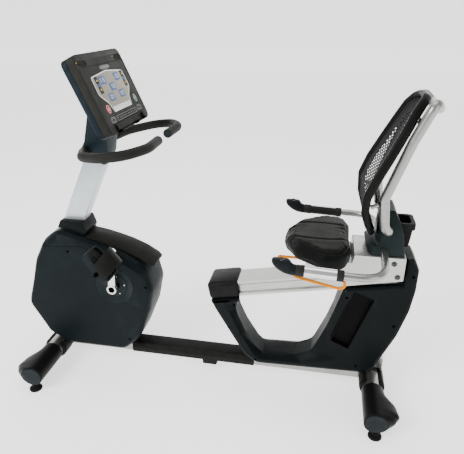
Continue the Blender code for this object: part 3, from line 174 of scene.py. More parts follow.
def rubbery(name, colour, roughness, scale=700.0, depth=0.4, specular=0.1):
    """Rubber or foam with open fine pores."""
    made = Shader(name, colour, roughness, specular=specular)
    made.finish(0.18, 0.06, 0.15, tuple(c * 1.9 + 0.01 for c in colour), 14.0)
    made.bump(made.cells(scale), depth, 0.0002)
    made.bump(made.noise(60.0, 4.0), 0.2, 0.0003)
    return made.material


def vinyl(name, colour, roughness=0.46):
    """Grained vinyl: cells with soft wrinkles between them and a slight sheen."""
    made = Shader(name, colour, roughness, specular=0.05)
    made.finish(0.14, 0.07, 0.18, tuple(c * 1.7 + 0.01 for c in colour), 9.0)
    grain = made.span(made.cells(520.0, "DISTANCE_TO_EDGE"), 0.0, 1.0, 0.0, 0.16)
    made.bump(grain, 0.45, 0.00022)
    made.bump(made.noise(24.0, 5.0), 0.12, 0.0008)
    made.shader.inputs["Sheen Weight"].default_value = 0.02
    made.shader.inputs["Sheen Roughness"].default_value = 0.5
    return made.material


def film(name, colour, roughness=0.35, depth=0.05, edge=0.0):
    """Printed or sealed film on the console, almost without grain."""
    return moulded(name, colour, roughness, 1800.0, depth, edge)


LOOK = {
    "shroud": moulded("shroud_plastic", (0.0046, 0.0076, 0.0086), 0.42),
    "shell": moulded("shell_plastic", (0.0034, 0.005, 0.0054), 0.42),
    "grey_shell": moulded("charcoal_plastic", (0.013, 0.017, 0.019), 0.47),
    "bezel": moulded("bezel_plastic", (0.0165, 0.0165, 0.0145), 0.5),
    "blue_shell": moulded("blue_black_plastic", (0.008, 0.014, 0.018), 0.42),
    "trim": moulded("trim_plastic", (0.0075, 0.0075, 0.007), 0.48, grain=700.0, depth=0.5),
    "tray": moulded("tray_plastic", (0.0085, 0.0088, 0.0078), 0.52, grain=600.0, depth=0.6),
    "silver": painted_metal("satin_silver", (0.3, 0.305, 0.29), 0.28, 0.9, flake=0.1),
    "mast": painted_metal("mast_silver", (0.5, 0.55, 0.58), 0.36, 0.55, flake=0.1),
    "rail": painted_metal("anodised_rail", (0.44, 0.45, 0.425), 0.3, 0.75, brushed=(1.0, 60.0, 60.0)),
    "chrome": painted_metal("chrome_plate", (0.7, 0.7, 0.7), 0.14, 1.0),
    "dark_steel": painted_metal("dark_steel", (0.07, 0.07, 0.075), 0.42, 0.8),
    "orange": moulded("orange_coat", (0.68, 0.2, 0.0), 0.4, 1500.0, 0.1, specular=0.03),
    "rubber": rubbery("foot_rubber", (0.008, 0.008, 0.008), 0.62),
    "foam": rubbery("grip_foam", (0.0135, 0.014, 0.0125), 0.6, 620.0, 0.6),
    "strap": rubbery("strap_rubber", (0.005, 0.0052, 0.0046), 0.5, 900.0, 0.3),
    "belt": rubbery("belt_rubber", (0.012, 0.012, 0.012), 0.55),
    "vinyl": vinyl("seat_vinyl", (0.0048, 0.0048, 0.004)),
    # Matte black with no reflection at all: painted shade in the screw holes, and the own black of the crank
    # bolt caps, strap knobs and rack fittings.
    "hole": rubbery("black_and_painted_shade", (0.0012, 0.0012, 0.0012), 0.8, specular=0.0),
    "column": moulded("column_plastic", (0.011, 0.0165, 0.017), 0.4),
    "trim_gloss": moulded("satin_trim", (0.0055, 0.0058, 0.0055), 0.34, grain=1100.0, depth=0.2),
    "recess": moulded("pocket_plastic", (0.0022, 0.0022, 0.0022), 0.55, specular=0.05),
    "dish": moulded("hub_dish_plastic", (0.0125, 0.017, 0.0185), 0.34, grain=1000.0, depth=0.25),
    "pedal": moulded("pedal_plastic", (0.0085, 0.012, 0.013), 0.48),
    "nose": moulded("grip_nose_plastic", (0.0075, 0.0095, 0.0105), 0.4),
    "rim": moulded("rim_plastic", (0.006, 0.0066, 0.0058), 0.42, grain=650.0, depth=0.5),
    "weave": rubbery("back_weave", (0.0075, 0.008, 0.0075), 0.55, 1500.0, 0.5),
    "vinyl_side": vinyl("seat_side_vinyl", (0.0036, 0.0042, 0.0042), 0.44),
    "button": rubbery("button_rubber", (0.02, 0.02, 0.02), 0.5),
    "vent": moulded("vent_plastic", (0.01, 0.01, 0.0095), 0.5),
    "badge": moulded("badge_plastic", (0.16, 0.16, 0.15), 0.35, edge=0.1),
    "membrane": film("membrane_film", (0.3, 0.28, 0.235), 0.34, 0.08),
    "white_ink": film("white_film", (0.86, 0.86, 0.82), 0.38, 0.08),
    "pale_ink": film("pale_segments", (0.7, 0.78, 0.86)),
    "grey_ink": film("grey_print", (0.42, 0.42, 0.39), 0.45),
    "lcd": film("lcd_glass", (0.055, 0.115, 0.26), 0.16, 0.03),
    "blue_ink": film("blue_film", (0.03, 0.065, 0.24)),
    "yellow_ink": film("yellow_print", (0.9, 0.62, 0.06), 0.4),
    "red_ink": film("stop_key_film", (0.5, 0.012, 0.018), edge=0.1),
    "green_ink": film("start_key_film", (0.006, 0.115, 0.036), edge=0.1),
    "key_dark": moulded("dark_key_film", (0.008, 0.01, 0.012), 0.36, grain=1500.0, depth=0.1),
    "lamp": moulded("lamp_lens", (0.85, 0.62, 0.05), 0.2, grain=1500.0, depth=0.05, edge=0.0),
}


# ------------------------------------------------------------ mesh helpers
def mm(*rows):
    """Rows of sizes, given in millimetres and returned in metres."""
    return [tuple(size / 1000.0 for size in row) for row in rows]


def link(obj):
    bpy.context.scene.collection.objects.link(obj)
    return obj


def smooth_by_angle(mesh, degrees=32.0):
    shape = bmesh.new()
    shape.from_mesh(mesh)
    limit = math.radians(degrees)
    for edge in shape.edges:
        sharp = len(edge.link_faces) != 2 or edge.calc_face_angle(0.0) > limit
        edge.smooth = not sharp
    for face in shape.faces:
        face.smooth = True
    shape.to_mesh(mesh)
    shape.free()
    return mesh


def as_mesh(shape, name, angle=32.0, matrix=None):
    """Mesh of a finished bmesh, with outward faces and edges sharper than angle left sharp."""
    bmesh.ops.recalc_face_normals(shape, faces=shape.faces)
    if matrix is not None:
        bmesh.ops.transform(shape, matrix=matrix, verts=shape.verts)
    mesh = bpy.data.meshes.new(name)
    shape.to_mesh(mesh)
    shape.free()
    return smooth_by_angle(mesh, angle)


def level(outline, z):
    """A flat outline as points at one height."""
    return [Vector((p[0], p[1], z)) for p in outline]


def circle(centre, side, up, radius, count):
    turns = [math.tau * k / count for k in range(count)]
    return [centre + (side * math.cos(turn) + up * math.sin(turn)) * radius for turn in turns]


def add_loft(shape, rings, cyclic=False):
    """Quads between closed rings, with flat ends unless the rings close on themselves."""
    rows = [[shape.verts.new(p) for p in ring] for ring in rings]
    count = len(rows[0])
    for low, high in zip(rows, rows[1:] + rows[:1] if cyclic else rows[1:]):
        for k in range(count):
            n = (k + 1) % count
            shape.faces.new((low[k], low[n], high[n], high[k]))
    if not cyclic:
        shape.faces.new(list(reversed(rows[0])))
        shape.faces.new(rows[-1])


def loft_mesh(name, rings, angle=32.0, matrix=None, cyclic=False):
    shape = bmesh.new()
    add_loft(shape, rings, cyclic)
    return as_mesh(shape, name, angle, matrix)


def rounded(before, corner, after, radius, steps, limit):
    """Points that round one corner. It takes at most the share limit of each side."""
    to_before = (before - corner).normalized()
    to_after = (after - corner).normalized()
    half = max(to_before.angle(to_after) / 2.0, 0.05)
    room = min((before - corner).length, (after - corner).length) * limit
    reach = min(radius / math.tan(half), room)
    start, end = corner + to_before * reach, corner + to_after * reach
    shares = [k / steps for k in range(steps + 1)]
    return [start.lerp(corner, t).lerp(corner.lerp(end, t), t) for t in shares]


def fillet(points, radius, steps=12, cyclic=False):
    """The path with its corners rounded."""
    corners = [Vector(p) for p in points]
    count = len(corners)
    path = []
    for i, corner in enumerate(corners):
        if cyclic or 0 < i < count - 1:
            path += rounded(corners[i - 1], corner, corners[(i + 1) % count], radius, steps, 0.49)
        else:
            path.append(corner)
    return path


def spaced(path, step):
    """The same path with points added so that no stretch is longer than step."""
    made = [path[0]]
    for a, b in zip(path[:-1], path[1:]):
        parts = max(1, math.ceil((b - a).length / step))
        made += [a.lerp(b, (k + 1) / parts) for k in range(parts)]
    return made


def tube_mesh(name, path, radius, sides=32, edge=0.0012):
    """Round bar along a path, with softened ends."""
    last = len(path) - 1
    steps = {0: ((0.0, 1.0), (0.3, 0.3), (1.0, 0.0)), last: ((-1.0, 0.0), (-0.3, 0.3), (0.0, 1.0))}
    rings = []
    side = (path[1] - path[0]).normalized().orthogonal()
    for i, point in enumerate(path):
        along = (path[min(i + 1, last)] - path[max(i - 1, 0)]).normalized()
        side = (side - along * side.dot(along)).normalized()
        for shift, pinch in steps.get(i, ((0.0, 0.0),)):
            middle = point + along * edge * shift
            rings.append(circle(middle, side, along.cross(side), radius - edge * pinch, sides))
    return loft_mesh(name, rings, 50.0)


def add_turned(shape, profile, centre, axis, sides=48):
    """Solid of revolution: profile rows are (radius, height along the axis)."""
    axis = Vector(axis).normalized()
    side = axis.orthogonal().normalized()
    up = axis.cross(side)
    rows = []
    for radius, height in profile:
        middle = Vector(centre) + axis * height
        points = circle(middle, side, up, radius, sides) if radius > 1e-6 else [middle]
        rows.append([shape.verts.new(p) for p in points])
    for low, high in zip(rows, rows[1:]):
        for k in range(sides if len(low) + len(high) > 2 else 0):
            n = (k + 1) % sides
            if len(low) == 1:
                shape.faces.new((low[0], high[n], high[k]))
            elif len(high) == 1:
                shape.faces.new((low[k], low[n], high[0]))
            else:
                shape.faces.new((low[k], low[n], high[n], high[k]))


def turned_mesh(name, profile, centre, axis, sides=48, matrix=None):
    shape = bmesh.new()
    add_turned(shape, profile, centre, axis, sides)
    return as_mesh(shape, name, 32.0, matrix)


def outline_of(corners, steps=6):
    """Closed outline from (x, y, radius) corners."""
    points = [Vector((x, y)) for x, y, _ in corners]
    made = []
    for i, corner in enumerate(points):
        radius, after = corners[i][2], points[(i + 1) % len(points)]
        made += rounded(points[i - 1], corner, after, radius, steps, 0.48) if radius > 0.0 else [corner]
    return made


def shrunk(outline, distance):
    """Outline moved inwards by a distance."""
    after = outline[1:] + outline[:1]
    turn = 1.0 if sum(a.x * b.y - b.x * a.y for a, b in zip(outline, after)) > 0.0 else -1.0
    made = []
    for i, point in enumerate(outline):
        behind = (point - outline[i - 1]).normalized()
        ahead = (after[i] - point).normalized()
        normal = Vector((-behind.y - ahead.y, behind.x + ahead.x)).normalized() * turn
        straight = Vector((-behind.y, behind.x)) * turn
        made.append(point + normal * distance / max(normal.dot(straight), 0.4))
    return made


def add_slab(shape, outline, low, high, edge=0.0008):
    """Flat slab with rounded upper and lower edges."""
    turns = [math.pi / 4.0 * k for k in range(3)]
    rings = [(edge * (1.0 - math.sin(turn)), low + edge * (1.0 - math.cos(turn))) for turn in turns]
    rings += [(inwards, high + low - height) for inwards, height in reversed(rings)]
    add_loft(shape, [level(shrunk(outline, inwards), height) for inwards, height in rings])


def add_ring(shape, outline, width, low, high):
    """Flat frame between an outline and the same outline moved inwards."""
    inner = shrunk(outline, width)
    edge = min(0.0002, (high - low) * 0.4)
    rings = (
        (outline, low), (outline, high - edge), (shrunk(outline, edge), high),
        (shrunk(inner, -edge), high), (inner, high - edge), (inner, low),
    )
    add_loft(shape, [level(points, z) for points, z in rings], cyclic=True)


def add_box(shape, size, centre, edge=0.0006):
    """Small block with rounded vertical corners and edges."""
    x, y, z = (length / 2.0 for length in size)
    block = bmesh.new()
    add_slab(block, block_outline(-x, -y, x, y, min(x, y) * 0.35, 3), -z, z, min(edge, z * 0.6))
    bmesh.ops.translate(block, vec=centre, verts=block.verts)
    carry = bpy.data.meshes.new("block")
    block.to_mesh(carry)
    block.free()
    shape.from_mesh(carry)
    bpy.data.meshes.remove(carry)


def evaluated(obj):
    """Mesh of an object with its modifiers applied. The object is removed."""
    graph = bpy.context.evaluated_depsgraph_get()
    mesh = bpy.data.meshes.new_from_object(obj.evaluated_get(graph), depsgraph=graph)
    bpy.data.objects.remove(obj)
    return mesh


def carved(mesh, cutters):
    """The mesh with other closed meshes cut out of it."""
    work = link(bpy.data.objects.new("carving", mesh))
    tools = [link(bpy.data.objects.new("tool", cutter)) for cutter in cutters]
    for tool in tools:
        modifier = work.modifiers.new("cut", "BOOLEAN")
        modifier.operation = "DIFFERENCE"
        modifier.solver = "EXACT"
        modifier.object = tool
    result = evaluated(work)
    for tool in tools:
        bpy.data.objects.remove(tool)
    return result


# ------------------------------------------------------------ pieces
def piece(name, mesh, look, body="frame", replaced=()):
    """A new visible piece on a body, in place of CAD nodes where it stands for them."""
    obj = link(bpy.data.objects.new(name, mesh))
    looks = (look,) if isinstance(look, str) else look
    mesh.materials.clear()
    for item in looks:
        mesh.materials.append(LOOK[item])
    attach(obj, body)
    if replaced:
        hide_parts(*replaced)
    return obj


def node_mesh(node, cutters=(), angle=32.0):
    """Copy of a CAD node's mesh, cleaned and cut."""
    mesh = NODES[node].data.copy()
    mesh.name = node + "_mesh"
    if cutters:
        mesh = carved(mesh, cutters)
    shape = bmesh.new()
    shape.from_mesh(mesh)
    bmesh.ops.remove_doubles(shape, verts=shape.verts, dist=0.00002)
    bmesh.ops.dissolve_limit(shape, angle_limit=math.radians(1.0), verts=shape.verts, edges=shape.edges)
    shape.to_mesh(mesh)
    shape.free()
    if mesh.has_custom_normals:
        mesh.attributes.remove(mesh.attributes["custom_normal"])
    return smooth_by_angle(mesh, angle)


def dress(node, look, width, segments=2, angle=32.0, cutters=()):
    """The CAD node's own shape with softened edges and a full material."""
    mesh = node_mesh(node, cutters, angle)
    obj = piece(node + "_skin", mesh, look, NODE_BODY[node], [node])
    modifier = obj.modifiers.new("soften", "BEVEL")
    modifier.width = width
    modifier.segments = segments
    modifier.limit_method = "ANGLE"
    modifier.angle_limit = math.radians(angle)
    modifier.harden_normals = True


# ------------------------------------------------------------ frames of the parts
CONSOLE_TILT = math.radians(24.0)
CRANK_AXIS = Vector((-0.368, 0.0, 0.414))
GAP = 0.0003
X_AXIS, Y_AXIS, Z_AXIS = (Vector(row) for row in Matrix.Identity(3))
HANDS = (("left", -1.0), ("right", 1.0))


def basis(centre, x_axis, y_axis, z_axis):
    turn = Matrix((x_axis, y_axis, z_axis)).transposed().to_4x4()
    return Matrix.Translation(centre) @ turn


CONSOLE = basis(
    Vector((-0.352, 0.0, 1.149)),
    Y_AXIS,
    Vector((-math.sin(CONSOLE_TILT), 0.0, math.cos(CONSOLE_TILT))),
    Vector((math.cos(CONSOLE_TILT), 0.0, math.sin(CONSOLE_TILT))),
)
FACE = 0.026


def side_plane(side):
    """Local x is world X, local y is world Z and local z points outwards at that side."""
    return basis(Vector(), X_AXIS, Z_AXIS, Y_AXIS * side)


def prism(name, outline, low, high, matrix):
    """Closed cutter from an outline."""
    return loft_mesh(name, [level(outline, low), level(outline, high)], 32.0, matrix)


def block_outline(x0, y0, x1, y1, radius=0.0, steps=4):
    return outline_of([(x0, y0, radius), (x1, y0, radius), (x1, y1, radius), (x0, y1, radius)], steps)


# ------------------------------------------------------------ plain frame pieces
PLAIN = (
    ("base_beam front_stabiliser rear_stabiliser rear_post rail_front_post", "silver", 0.001, 2),
    ("mast", "mast", 0.0008, 2),
    ("drive_frame drive_pulley flywheel brake_magnet rail_lock", "dark_steel", 0.0006, 2),
    ("drive_belt", "belt", 0.0004, 2),
    ("centre_foot", "rubber", 0.001, 2),
    ("remote_button_left remote_button_right", "button", 0.0005, 2),
    ("seat_rail", "rail", 0.0012, 2),
    ("seat_carriage", "rail", 0.0014, 2),
    ("rail_cap", "trim_gloss", 0.0035, 3),
    ("bottle_holder", "trim", 0.0016, 2),
    ("front_saddle rear_saddle", "trim", 0.0022, 3),
    ("beam_cover", "trim", 0.0012, 2),
    ("crank_left crank_right", "chrome", 0.0012, 2),
    ("crank_axle", "chrome", 0.0006, 2),
    ("pedal_left pedal_right", "pedal", 0.0014, 2),
    ("console_back", "blue_shell", 0.002, 3),
    ("reading_rack", "trim", 0.001, 2),
)


def dress_plain():
    for nodes, look, width, segments in PLAIN:
        for node in nodes.split():
            dress(node, look, width, segments)
    dress("seat_column", "column", 0.0045, 3, 20.0)
    dress("mast_collar", "shell", 0.003, 3, 25.0)
    dress("shroud_top", "tray", 0.0014, 2, 30.0)
    dress("console_neck", "blue_shell", 0.0022, 2, 24.0)


# ------------------------------------------------------------ drive housing
def seam_cutter(points, width, inner, side):
    """Narrow trench along a line on the side of a housing, down to a distance from the middle."""
    upper, lower = [], []
    for i, point in enumerate(points):
        along = Vector(points[min(i + 1, len(points) - 1)]) - Vector(points[max(i - 1, 0)])
        normal = Vector((-along.y, along.x)).normalized() * width / 2.0
        upper.append(Vector(point) + normal)
        lower.append(Vector(point) - normal)
    return prism("seam", upper + lower[::-1], inner, 0.095, side_plane(side))


SHROUD_SEAM = mm((-489, 612), (-496, 600), (-509, 588))
SHOULDER_SEAM = mm(
    (-655, 586), (-645, 576), (-628, 568), (-606, 566), (-575, 571), (-540, 575), (-509, 576), (-480, 576),
    (-455, 572), (-400, 556), (-355, 540), (-312, 522), (-280, 500), (-255, 472), (-243, 448),
)


def dress_shroud():
    for hand, side in HANDS:
        split = seam_cutter(SHROUD_SEAM, 0.0012, 0.075, side)
        shoulder = seam_cutter(SHOULDER_SEAM, 0.0016, 0.0868, side)
        dress("shroud_" + hand, "shroud", 0.003, 3, 18.0, [split, shoulder])


# ------------------------------------------------------------ rear housing
POCKET = outline_of(mm((550, 480, 4), (625.6, 453, 4), (551.3, 226, 4), (481.7, 257, 4)), 3)
POCKET_FLOOR = 0.052


def dress_rear_covers():
    """Both halves, each with its storage pocket as a tray set into a hole."""
    for hand, side in HANDS:
        plane = side_plane(side)
        hole = prism("pocket_hole", shrunk(POCKET, -0.0004), 0.03, 0.09, plane)
        dress("rear_cover_" + hand, "shell", 0.0026, 3, 20.0, [hole])
        lip = shrunk(POCKET, 0.0018)
        rings = [level(POCKET, 0.0705), level(POCKET, POCKET_FLOOR - 0.002), level(lip, POCKET_FLOOR - 0.003)]
        tray = loft_mesh("pocket_tray", rings, 32.0, plane)
        tray = smooth_by_angle(carved(tray, [prism("tray_room", lip, POCKET_FLOOR, 0.09, plane)]))
        piece("cover_pocket_" + hand, tray, "recess")


# ------------------------------------------------------------ screws
SCREW_RADIUS = 0.0046
# Rows are shares of the screw's radius and heights over the surface: flush rim, sunk head and socket.
SCREW = (
    (0.0, -0.0008), (1.2, -0.0008), (1.2, 0.0004), (1.12, 0.0007), (0.98, 0.0007), (0.92, 0.0003),
    (0.6, 0.0004), (0.44, 0.0004), (0.4, 0.0002), (0.0, 0.0002),
)
SCREW_PLACES = {
    "shroud_": mm((-548, 551), (-238, 422), (-326, 166), (-690, 170), (-712, 470)),
    "rear_cover_": mm(
        (527, 450), (106, 362), (377, 190), (196, 122), (704, 350), (588, 150), (744, 560), (88, 262)
    ),
}


def surface_of(node):
    """Search tree of a CAD node's faces."""
    mesh, place = NODES[node].data, NODES[node].matrix_world
    corners = [place @ v.co for v in mesh.vertices]
    return BVHTree.FromPolygons(corners, [list(f.vertices) for f in mesh.polygons])


def add_screws():
    """Screws on the housing sides, each set where a line across the bike meets the surface. They are drawn in
    a matte black without any reflection, which is painted shade of the screw holes.
    """
    profile = [(share * SCREW_RADIUS, height) for share, height in SCREW]
    for hand, side in HANDS:
        for group, places in SCREW_PLACES.items():
            name = group + hand
            shape = bmesh.new()
            surface = surface_of(name)
            for x, z in places:
                place, normal, _, _ = surface.ray_cast(Vector((x, side * 0.4, z)), Vector((0.0, -side, 0.0)))
                if place is not None:
                    add_turned(shape, profile, place, normal, 20)
            piece(name + "_screws", as_mesh(shape, name + "_screws"), "hole", "frame")


# ------------------------------------------------------------ crank area
HUB_COVER = mm(
    (75.5, 0), (74.6, 0), (73.8, -0.6), (65, -4.5), (56, -8.4), (51.2, -10.5), (49.8, -11), (48.2, -11),
    (47.5, -10.5), (46.9, -8.8), (46.3, -8.1), (45.2, -8), (35, -8), (34.5, -8.6), (33.2, -8.6), (32.5, -8),
    (21.5, -8), (18.8, -8.2), (18, -9), (18, -12), (51.5, -14), (74, -4),
)
HUB_BOLT = mm((0, -0.6), (2.6, -0.6), (2.8, 0.4), (2.2, 1.2), (1.2, 1.3), (1.1, 0.6), (0, 0.6))
CRANK_BOLT = mm(
    (0, -0.2), (12.6, -0.2), (12.8, 0.6), (10.5, 2), (8.8, 2.2), (7.8, 1.2), (6.2, 0.8), (0, 0.8),
)


def build_hubs():
    for hand, side in HANDS:
        centre = Vector((CRANK_AXIS.x, side * 0.09, CRANK_AXIS.z))
        axis = Y_AXIS * side
        name = "hub_cover_" + hand
        rings = [circle(centre + axis * height, X_AXIS, Z_AXIS, radius, 96) for radius, height in HUB_COVER]
        cover = loft_mesh(name, rings, 24.0, cyclic=True)
        piece(name + "_skin", cover, "dish", replaced=[name])
        bolts = bmesh.new()
        for k in range(5):
            turn = math.tau * (k + 0.1) / 5.0
            place = centre + Vector((math.cos(turn), 0.0, math.sin(turn))) * 0.0395 - axis * 0.008
            add_turned(bolts, HUB_BOLT, place, axis, 16)
        piece("hub_bolts_" + hand, as_mesh(bolts, "hub_bolts"), "chrome", "frame")
        cap = turned_mesh("crank_bolt", CRANK_BOLT, centre + axis * 0.0284, axis, 40)
        piece("crank_bolt_" + hand, cap, "hole", "crankset")


# ------------------------------------------------------------ pedals
# Rows are a share of half the strap's width and a height over its inner face.
STRAP_SECTION = (
    (-1.0, 0.0008), (-0.985, 0.0), (-0.5, 0.0), (0.0, 0.0), (0.5, 0.0), (0.985, 0.0),
    (1.0, 0.0008), (1.0, 0.0027), (0.985, 0.0035), (0.94, 0.0035), (0.92, 0.0031),
    (0.0, 0.0031), (-0.92, 0.0031), (-0.94, 0.0035), (-0.985, 0.0035), (-1.0, 0.0027),
)
TREAD_PIN = mm((0, 0), (1.6, 0), (1.6, 1.6), (0.8, 2.2), (0, 2.2))
STRAP_KNOB = mm((0, 0), (7.8, 0), (7.8, 1.2), (7, 1.8), (7, 9), (6.4, 10), (5, 10.4), (0, 10.4))


def pedal_frame(side):
    """Local x is the pedal's length, y its width and z its tread side."""
    tilt = math.radians(4.5)
    centre = CRANK_AXIS - Vector((math.sin(tilt), 0.0, math.cos(tilt))) * side * 0.16 + Y_AXIS * side * 0.205
    tread = Vector((0.8, 0.0, 0.6))
    length = Vector((0.6, 0.0, -0.8))
    return basis(centre, length, tread.cross(length), tread)


def strap_ring(turn):
    """Section of the strap at an angle of its arch over the pedal."""
    across, lift = math.cos(turn), math.sin(turn)
    width, shift = 0.031 * (1.0 + 0.1 * lift), 0.012 - 0.01 * lift
    return [
        Vector((shift + end * width, across * (0.052 + grow), 0.009 + lift * (0.06 + grow)))
        for end, grow in STRAP_SECTION
    ]


def build_pedals():
    for hand, side in HANDS:
        body, place = hand + "_pedal", pedal_frame(side)
        tread = bmesh.new()
        for k in range(9):
            for y in (-0.024, 0.0, 0.024):
                add_box(tread, (0.0042, 0.021, 0.0026), (-0.05 + 0.0125 * k, y, 0.0052), 0.0008)
        for x in (-0.0605, 0.0565):
            for row in range(5):
                add_turned(tread, TREAD_PIN, (x, -0.026 + 0.013 * row, 0.0118), Z_AXIS, 12)
        piece("pedal_tread_" + hand, as_mesh(tread, "tread", 32.0, place), "strap", body)
        strap = loft_mesh("strap", [strap_ring(math.pi * k / 40) for k in range(41)], 32.0, place)
        piece("strap_" + hand + "_skin", strap, "strap", body, ["strap_" + hand])
        knob = turned_mesh("knob", STRAP_KNOB, (0.014, side * 0.0505, -0.003), Y_AXIS * side, 32, place)
        piece("strap_knob_" + hand, knob, "hole", body)


# ------------------------------------------------------------ base ends
CAP_RADIUS = 0.0415
CAP_HEIGHT = 0.077
CAP_END = 0.282
# Rows are a distance from the middle of the bike and the cap's outward bulge there.
CAP_BULGE = mm((112, 0), (142, 4), (197, 38), (237, 45), (262, 30), (282, 6))
FOOT = mm(
    (0, 56), (5, 56), (5.5, 55),
    *(row for k in range(11) for row in ((5.5, 54 - 1.8 * k), (5, 53.1 - 1.8 * k))),
    (5.5, 33), (5.5, 20.5), (10.5, 19.8), (11.2, 18.8), (11.2, 14), (12, 12.8), (19, 10), (22.6, 8.8),
    (24.6, 7), (25, 5.5), (25, 1.6), (24.6, 0.5), (23.8, 0), (18, 0), (17.5, 0.8), (12, 0.8),
    (11.5, 0), (0, 0),
)


def bulge_at(y):
    """Outward bulge of an end cap at a distance from the middle of the bike."""
    for low, high in zip(CAP_BULGE, CAP_BULGE[1:]):
        if y <= high[0]:
            t = (y - low[0]) / (high[0] - low[0])
            return low[1] + (high[1] - low[1]) * (t * t * (3.0 - 2.0 * t) + t) * 0.5
    return CAP_BULGE[-1][1]


def cap_ring(x, y, side, outward, radius):
    """Section of an end cap, round but for the bulge on its outward half."""
    ring = []
    for k in range(64):
        turn = math.tau * k / 64
        reach = math.cos(turn) * radius
        if reach * outward > 0.0:
            reach += outward * bulge_at(y) * math.cos(turn) ** 2
        ring.append(Vector((x + reach, side * y, CAP_HEIGHT + math.sin(turn) * radius)))
    return ring


def rod(name, radius, length, place, axis, sides, start=0.0):
    """Closed round cutter."""
    profile = ((0.0, start), (radius, start), (radius, length), (0.0, length))
    return turned_mesh(name, profile, place, axis, sides)


def build_end(label, hand, x, outward, side):
    """One end of a cross tube: cap, end disc and levelling foot."""
    end = "%s_%s" % (label, hand)
    radii = [CAP_RADIUS - 0.0016] + [CAP_RADIUS] * 34
    rings = [cap_ring(x, 0.112 + 0.005 * k, side, outward, radius) for k, radius in enumerate(radii)]
    middle = Vector((x + outward * 0.003, side * CAP_END, CAP_HEIGHT))
    rim = rings[-1]
    rings[-2:] = [[Vector((p.x, side * 0.2805, p.z)) for p in rim], [middle.lerp(p, 0.972) for p in rim]]
    stem = (x + outward * 0.006, side * 0.261)
    rooms = [
        rod("cap_room", 0.0383, 0.2, (x, side * 0.2503, CAP_HEIGHT), (0.0, -side, 0.0), 48),
        rod("stem_room", 0.0062, 0.06, (*stem, 0.003), Z_AXIS, 24),
    ]
    cap = smooth_by_angle(carved(loft_mesh(end, rings, 40.0), rooms), 40.0)
    piece("end_cap_%s_skin" % end, cap, "trim_gloss", replaced=["end_cap_" + end])

    loops = []
    for share, height in ((0.9, 0.0001), (0.9, 0.001), (0.885, 0.0016), (0.4, 0.0024), (0.02, 0.0026)):
        y = side * (CAP_END + height)
        loops.append([Vector((*(middle + (p - middle) * share).xz, y)).xzy for p in rim])
    piece("end_disc_" + end, loft_mesh("end_disc", loops, 40.0), "grey_shell")

    foot = "foot_" + end
    mesh = turned_mesh(foot, FOOT, (*stem, 0.0), Z_AXIS, 48)
    piece(foot + "_skin", mesh, "rubber", NODE_BODY[foot], [foot])


def build_ends():
    for label, x, outward in (("front", -0.67, -1.0), ("rear", 0.655, 1.0)):
        for hand, side in HANDS:
            build_end(label, hand, x, outward, side)


# ------------------------------------------------------------ console
WINDOW = outline_of(mm(
    (-77, -71, 6), (77, -71, 6), (92, -36, 30), (130, -4, 20), (127, 58, 10), (0, 70, 0),
    (-127, 58, 10), (-130, -4, 20), (-92, -36, 30),
))
GLASS = 0.0262      # height of the display's outer face in the console's frame
ON_GLASS = (GLASS - 0.0001, GLASS + 0.0002)
ON_FACE = (FACE - 0.0002, FACE + 0.0003)
HEXAGON = mm((-31, 0), (-22, -9.5), (22, -9.5), (31, 0), (22, 9.5), (-22, 9.5))
# Bars of a seven-segment figure: middle in shares of its width and height, and whether it lies flat.
SEGMENTS = {
    "a": (0.0, 0.5, True), "g": (0.0, 0.0, True), "d": (0.0, -0.5, True), "f": (-0.5, 0.25, False),
    "b": (0.5, 0.25, False), "e": (-0.5, -0.25, False), "c": (0.5, -0.25, False),
}
READINGS = ("abcdef", "abged", "bc", "abcdg", "afgcd")


def ellipse(cx, cy, rx, ry, count=40, power=2.0):
    """Round outline; a power over 2 squares it."""
    made = []
    for k in range(count):
        c, s = math.cos(math.tau * k / count), math.sin(math.tau * k / count)
        x = rx * math.copysign(abs(c) ** (2.0 / power), c)
        made.append(Vector((cx + x, cy + ry * math.copysign(abs(s) ** (2.0 / power), s))))
    return made


def console_piece(name, shape, look, replaced=()):
    piece(name, as_mesh(shape, name, 32.0, CONSOLE), look, "frame", replaced)


def slabs(name, look, outlines, low, high, edge, slot="display", replaced=()):
    shape = bmesh.new()
    for outline in outlines:
        add_slab(shape, outline, low, high, edge)
    console_piece(name, shape, look, replaced)


def frames(name, look, rows):
    """Flat frames from (outline, width, low, high) rows."""
    shape = bmesh.new()
    for row in rows:
        add_ring(shape, *row)
    console_piece(name, shape, look)


def dress_console_front():
    """Front frame with its two vents and the grooves round its sides."""
    cutters = []
    for side in (-1.0, 1.0):
        vent = outline_of([(side * 0.138 + x, 0.1045 + y, 0.002) for x, y in HEXAGON], 2)
        cutters.append(prism("vent", vent, 0.0238, 0.04, CONSOLE))
    for corners in (
        (-0.173, 0.0905, 0.173, 0.0931), (-0.173, -0.15, -0.1704, 0.091),
        (0.1704, -0.15, 0.173, 0.091), (-0.148, -0.1045, 0.148, -0.103),
    ):
        cutters.append(prism("groove", block_outline(*corners), 0.0242, 0.04, CONSOLE))
    dress("console_front", "bezel", 0.0016, 3, 32.0, cutters)


def build_rack_fittings():
    fittings = bmesh.new()
    for size, centre, edge in (
        ((0.02, 0.006, 0.011), (-0.112, -0.1335, 0.03), 0.0012),
        ((0.006, 0.016, 0.004), (-0.104, -0.129, 0.0262), 0.001),
        ((0.026, 0.007, 0.008), (0.046, -0.1335, 0.0285), 0.0012),
    ):
        add_box(fittings, size, centre, edge)
    knob = ((0.0, 0.0), (0.0046, 0.0), (0.005, 0.001), (0.005, 0.011), (0.0044, 0.0122), (0.0, 0.0126))
    add_turned(fittings, knob, (0.112, -0.131, 0.03), X_AXIS, 24)
    mesh = as_mesh(fittings, "rack_fittings", 32.0, CONSOLE)
    piece("rack_fittings", mesh, "hole", "rack")


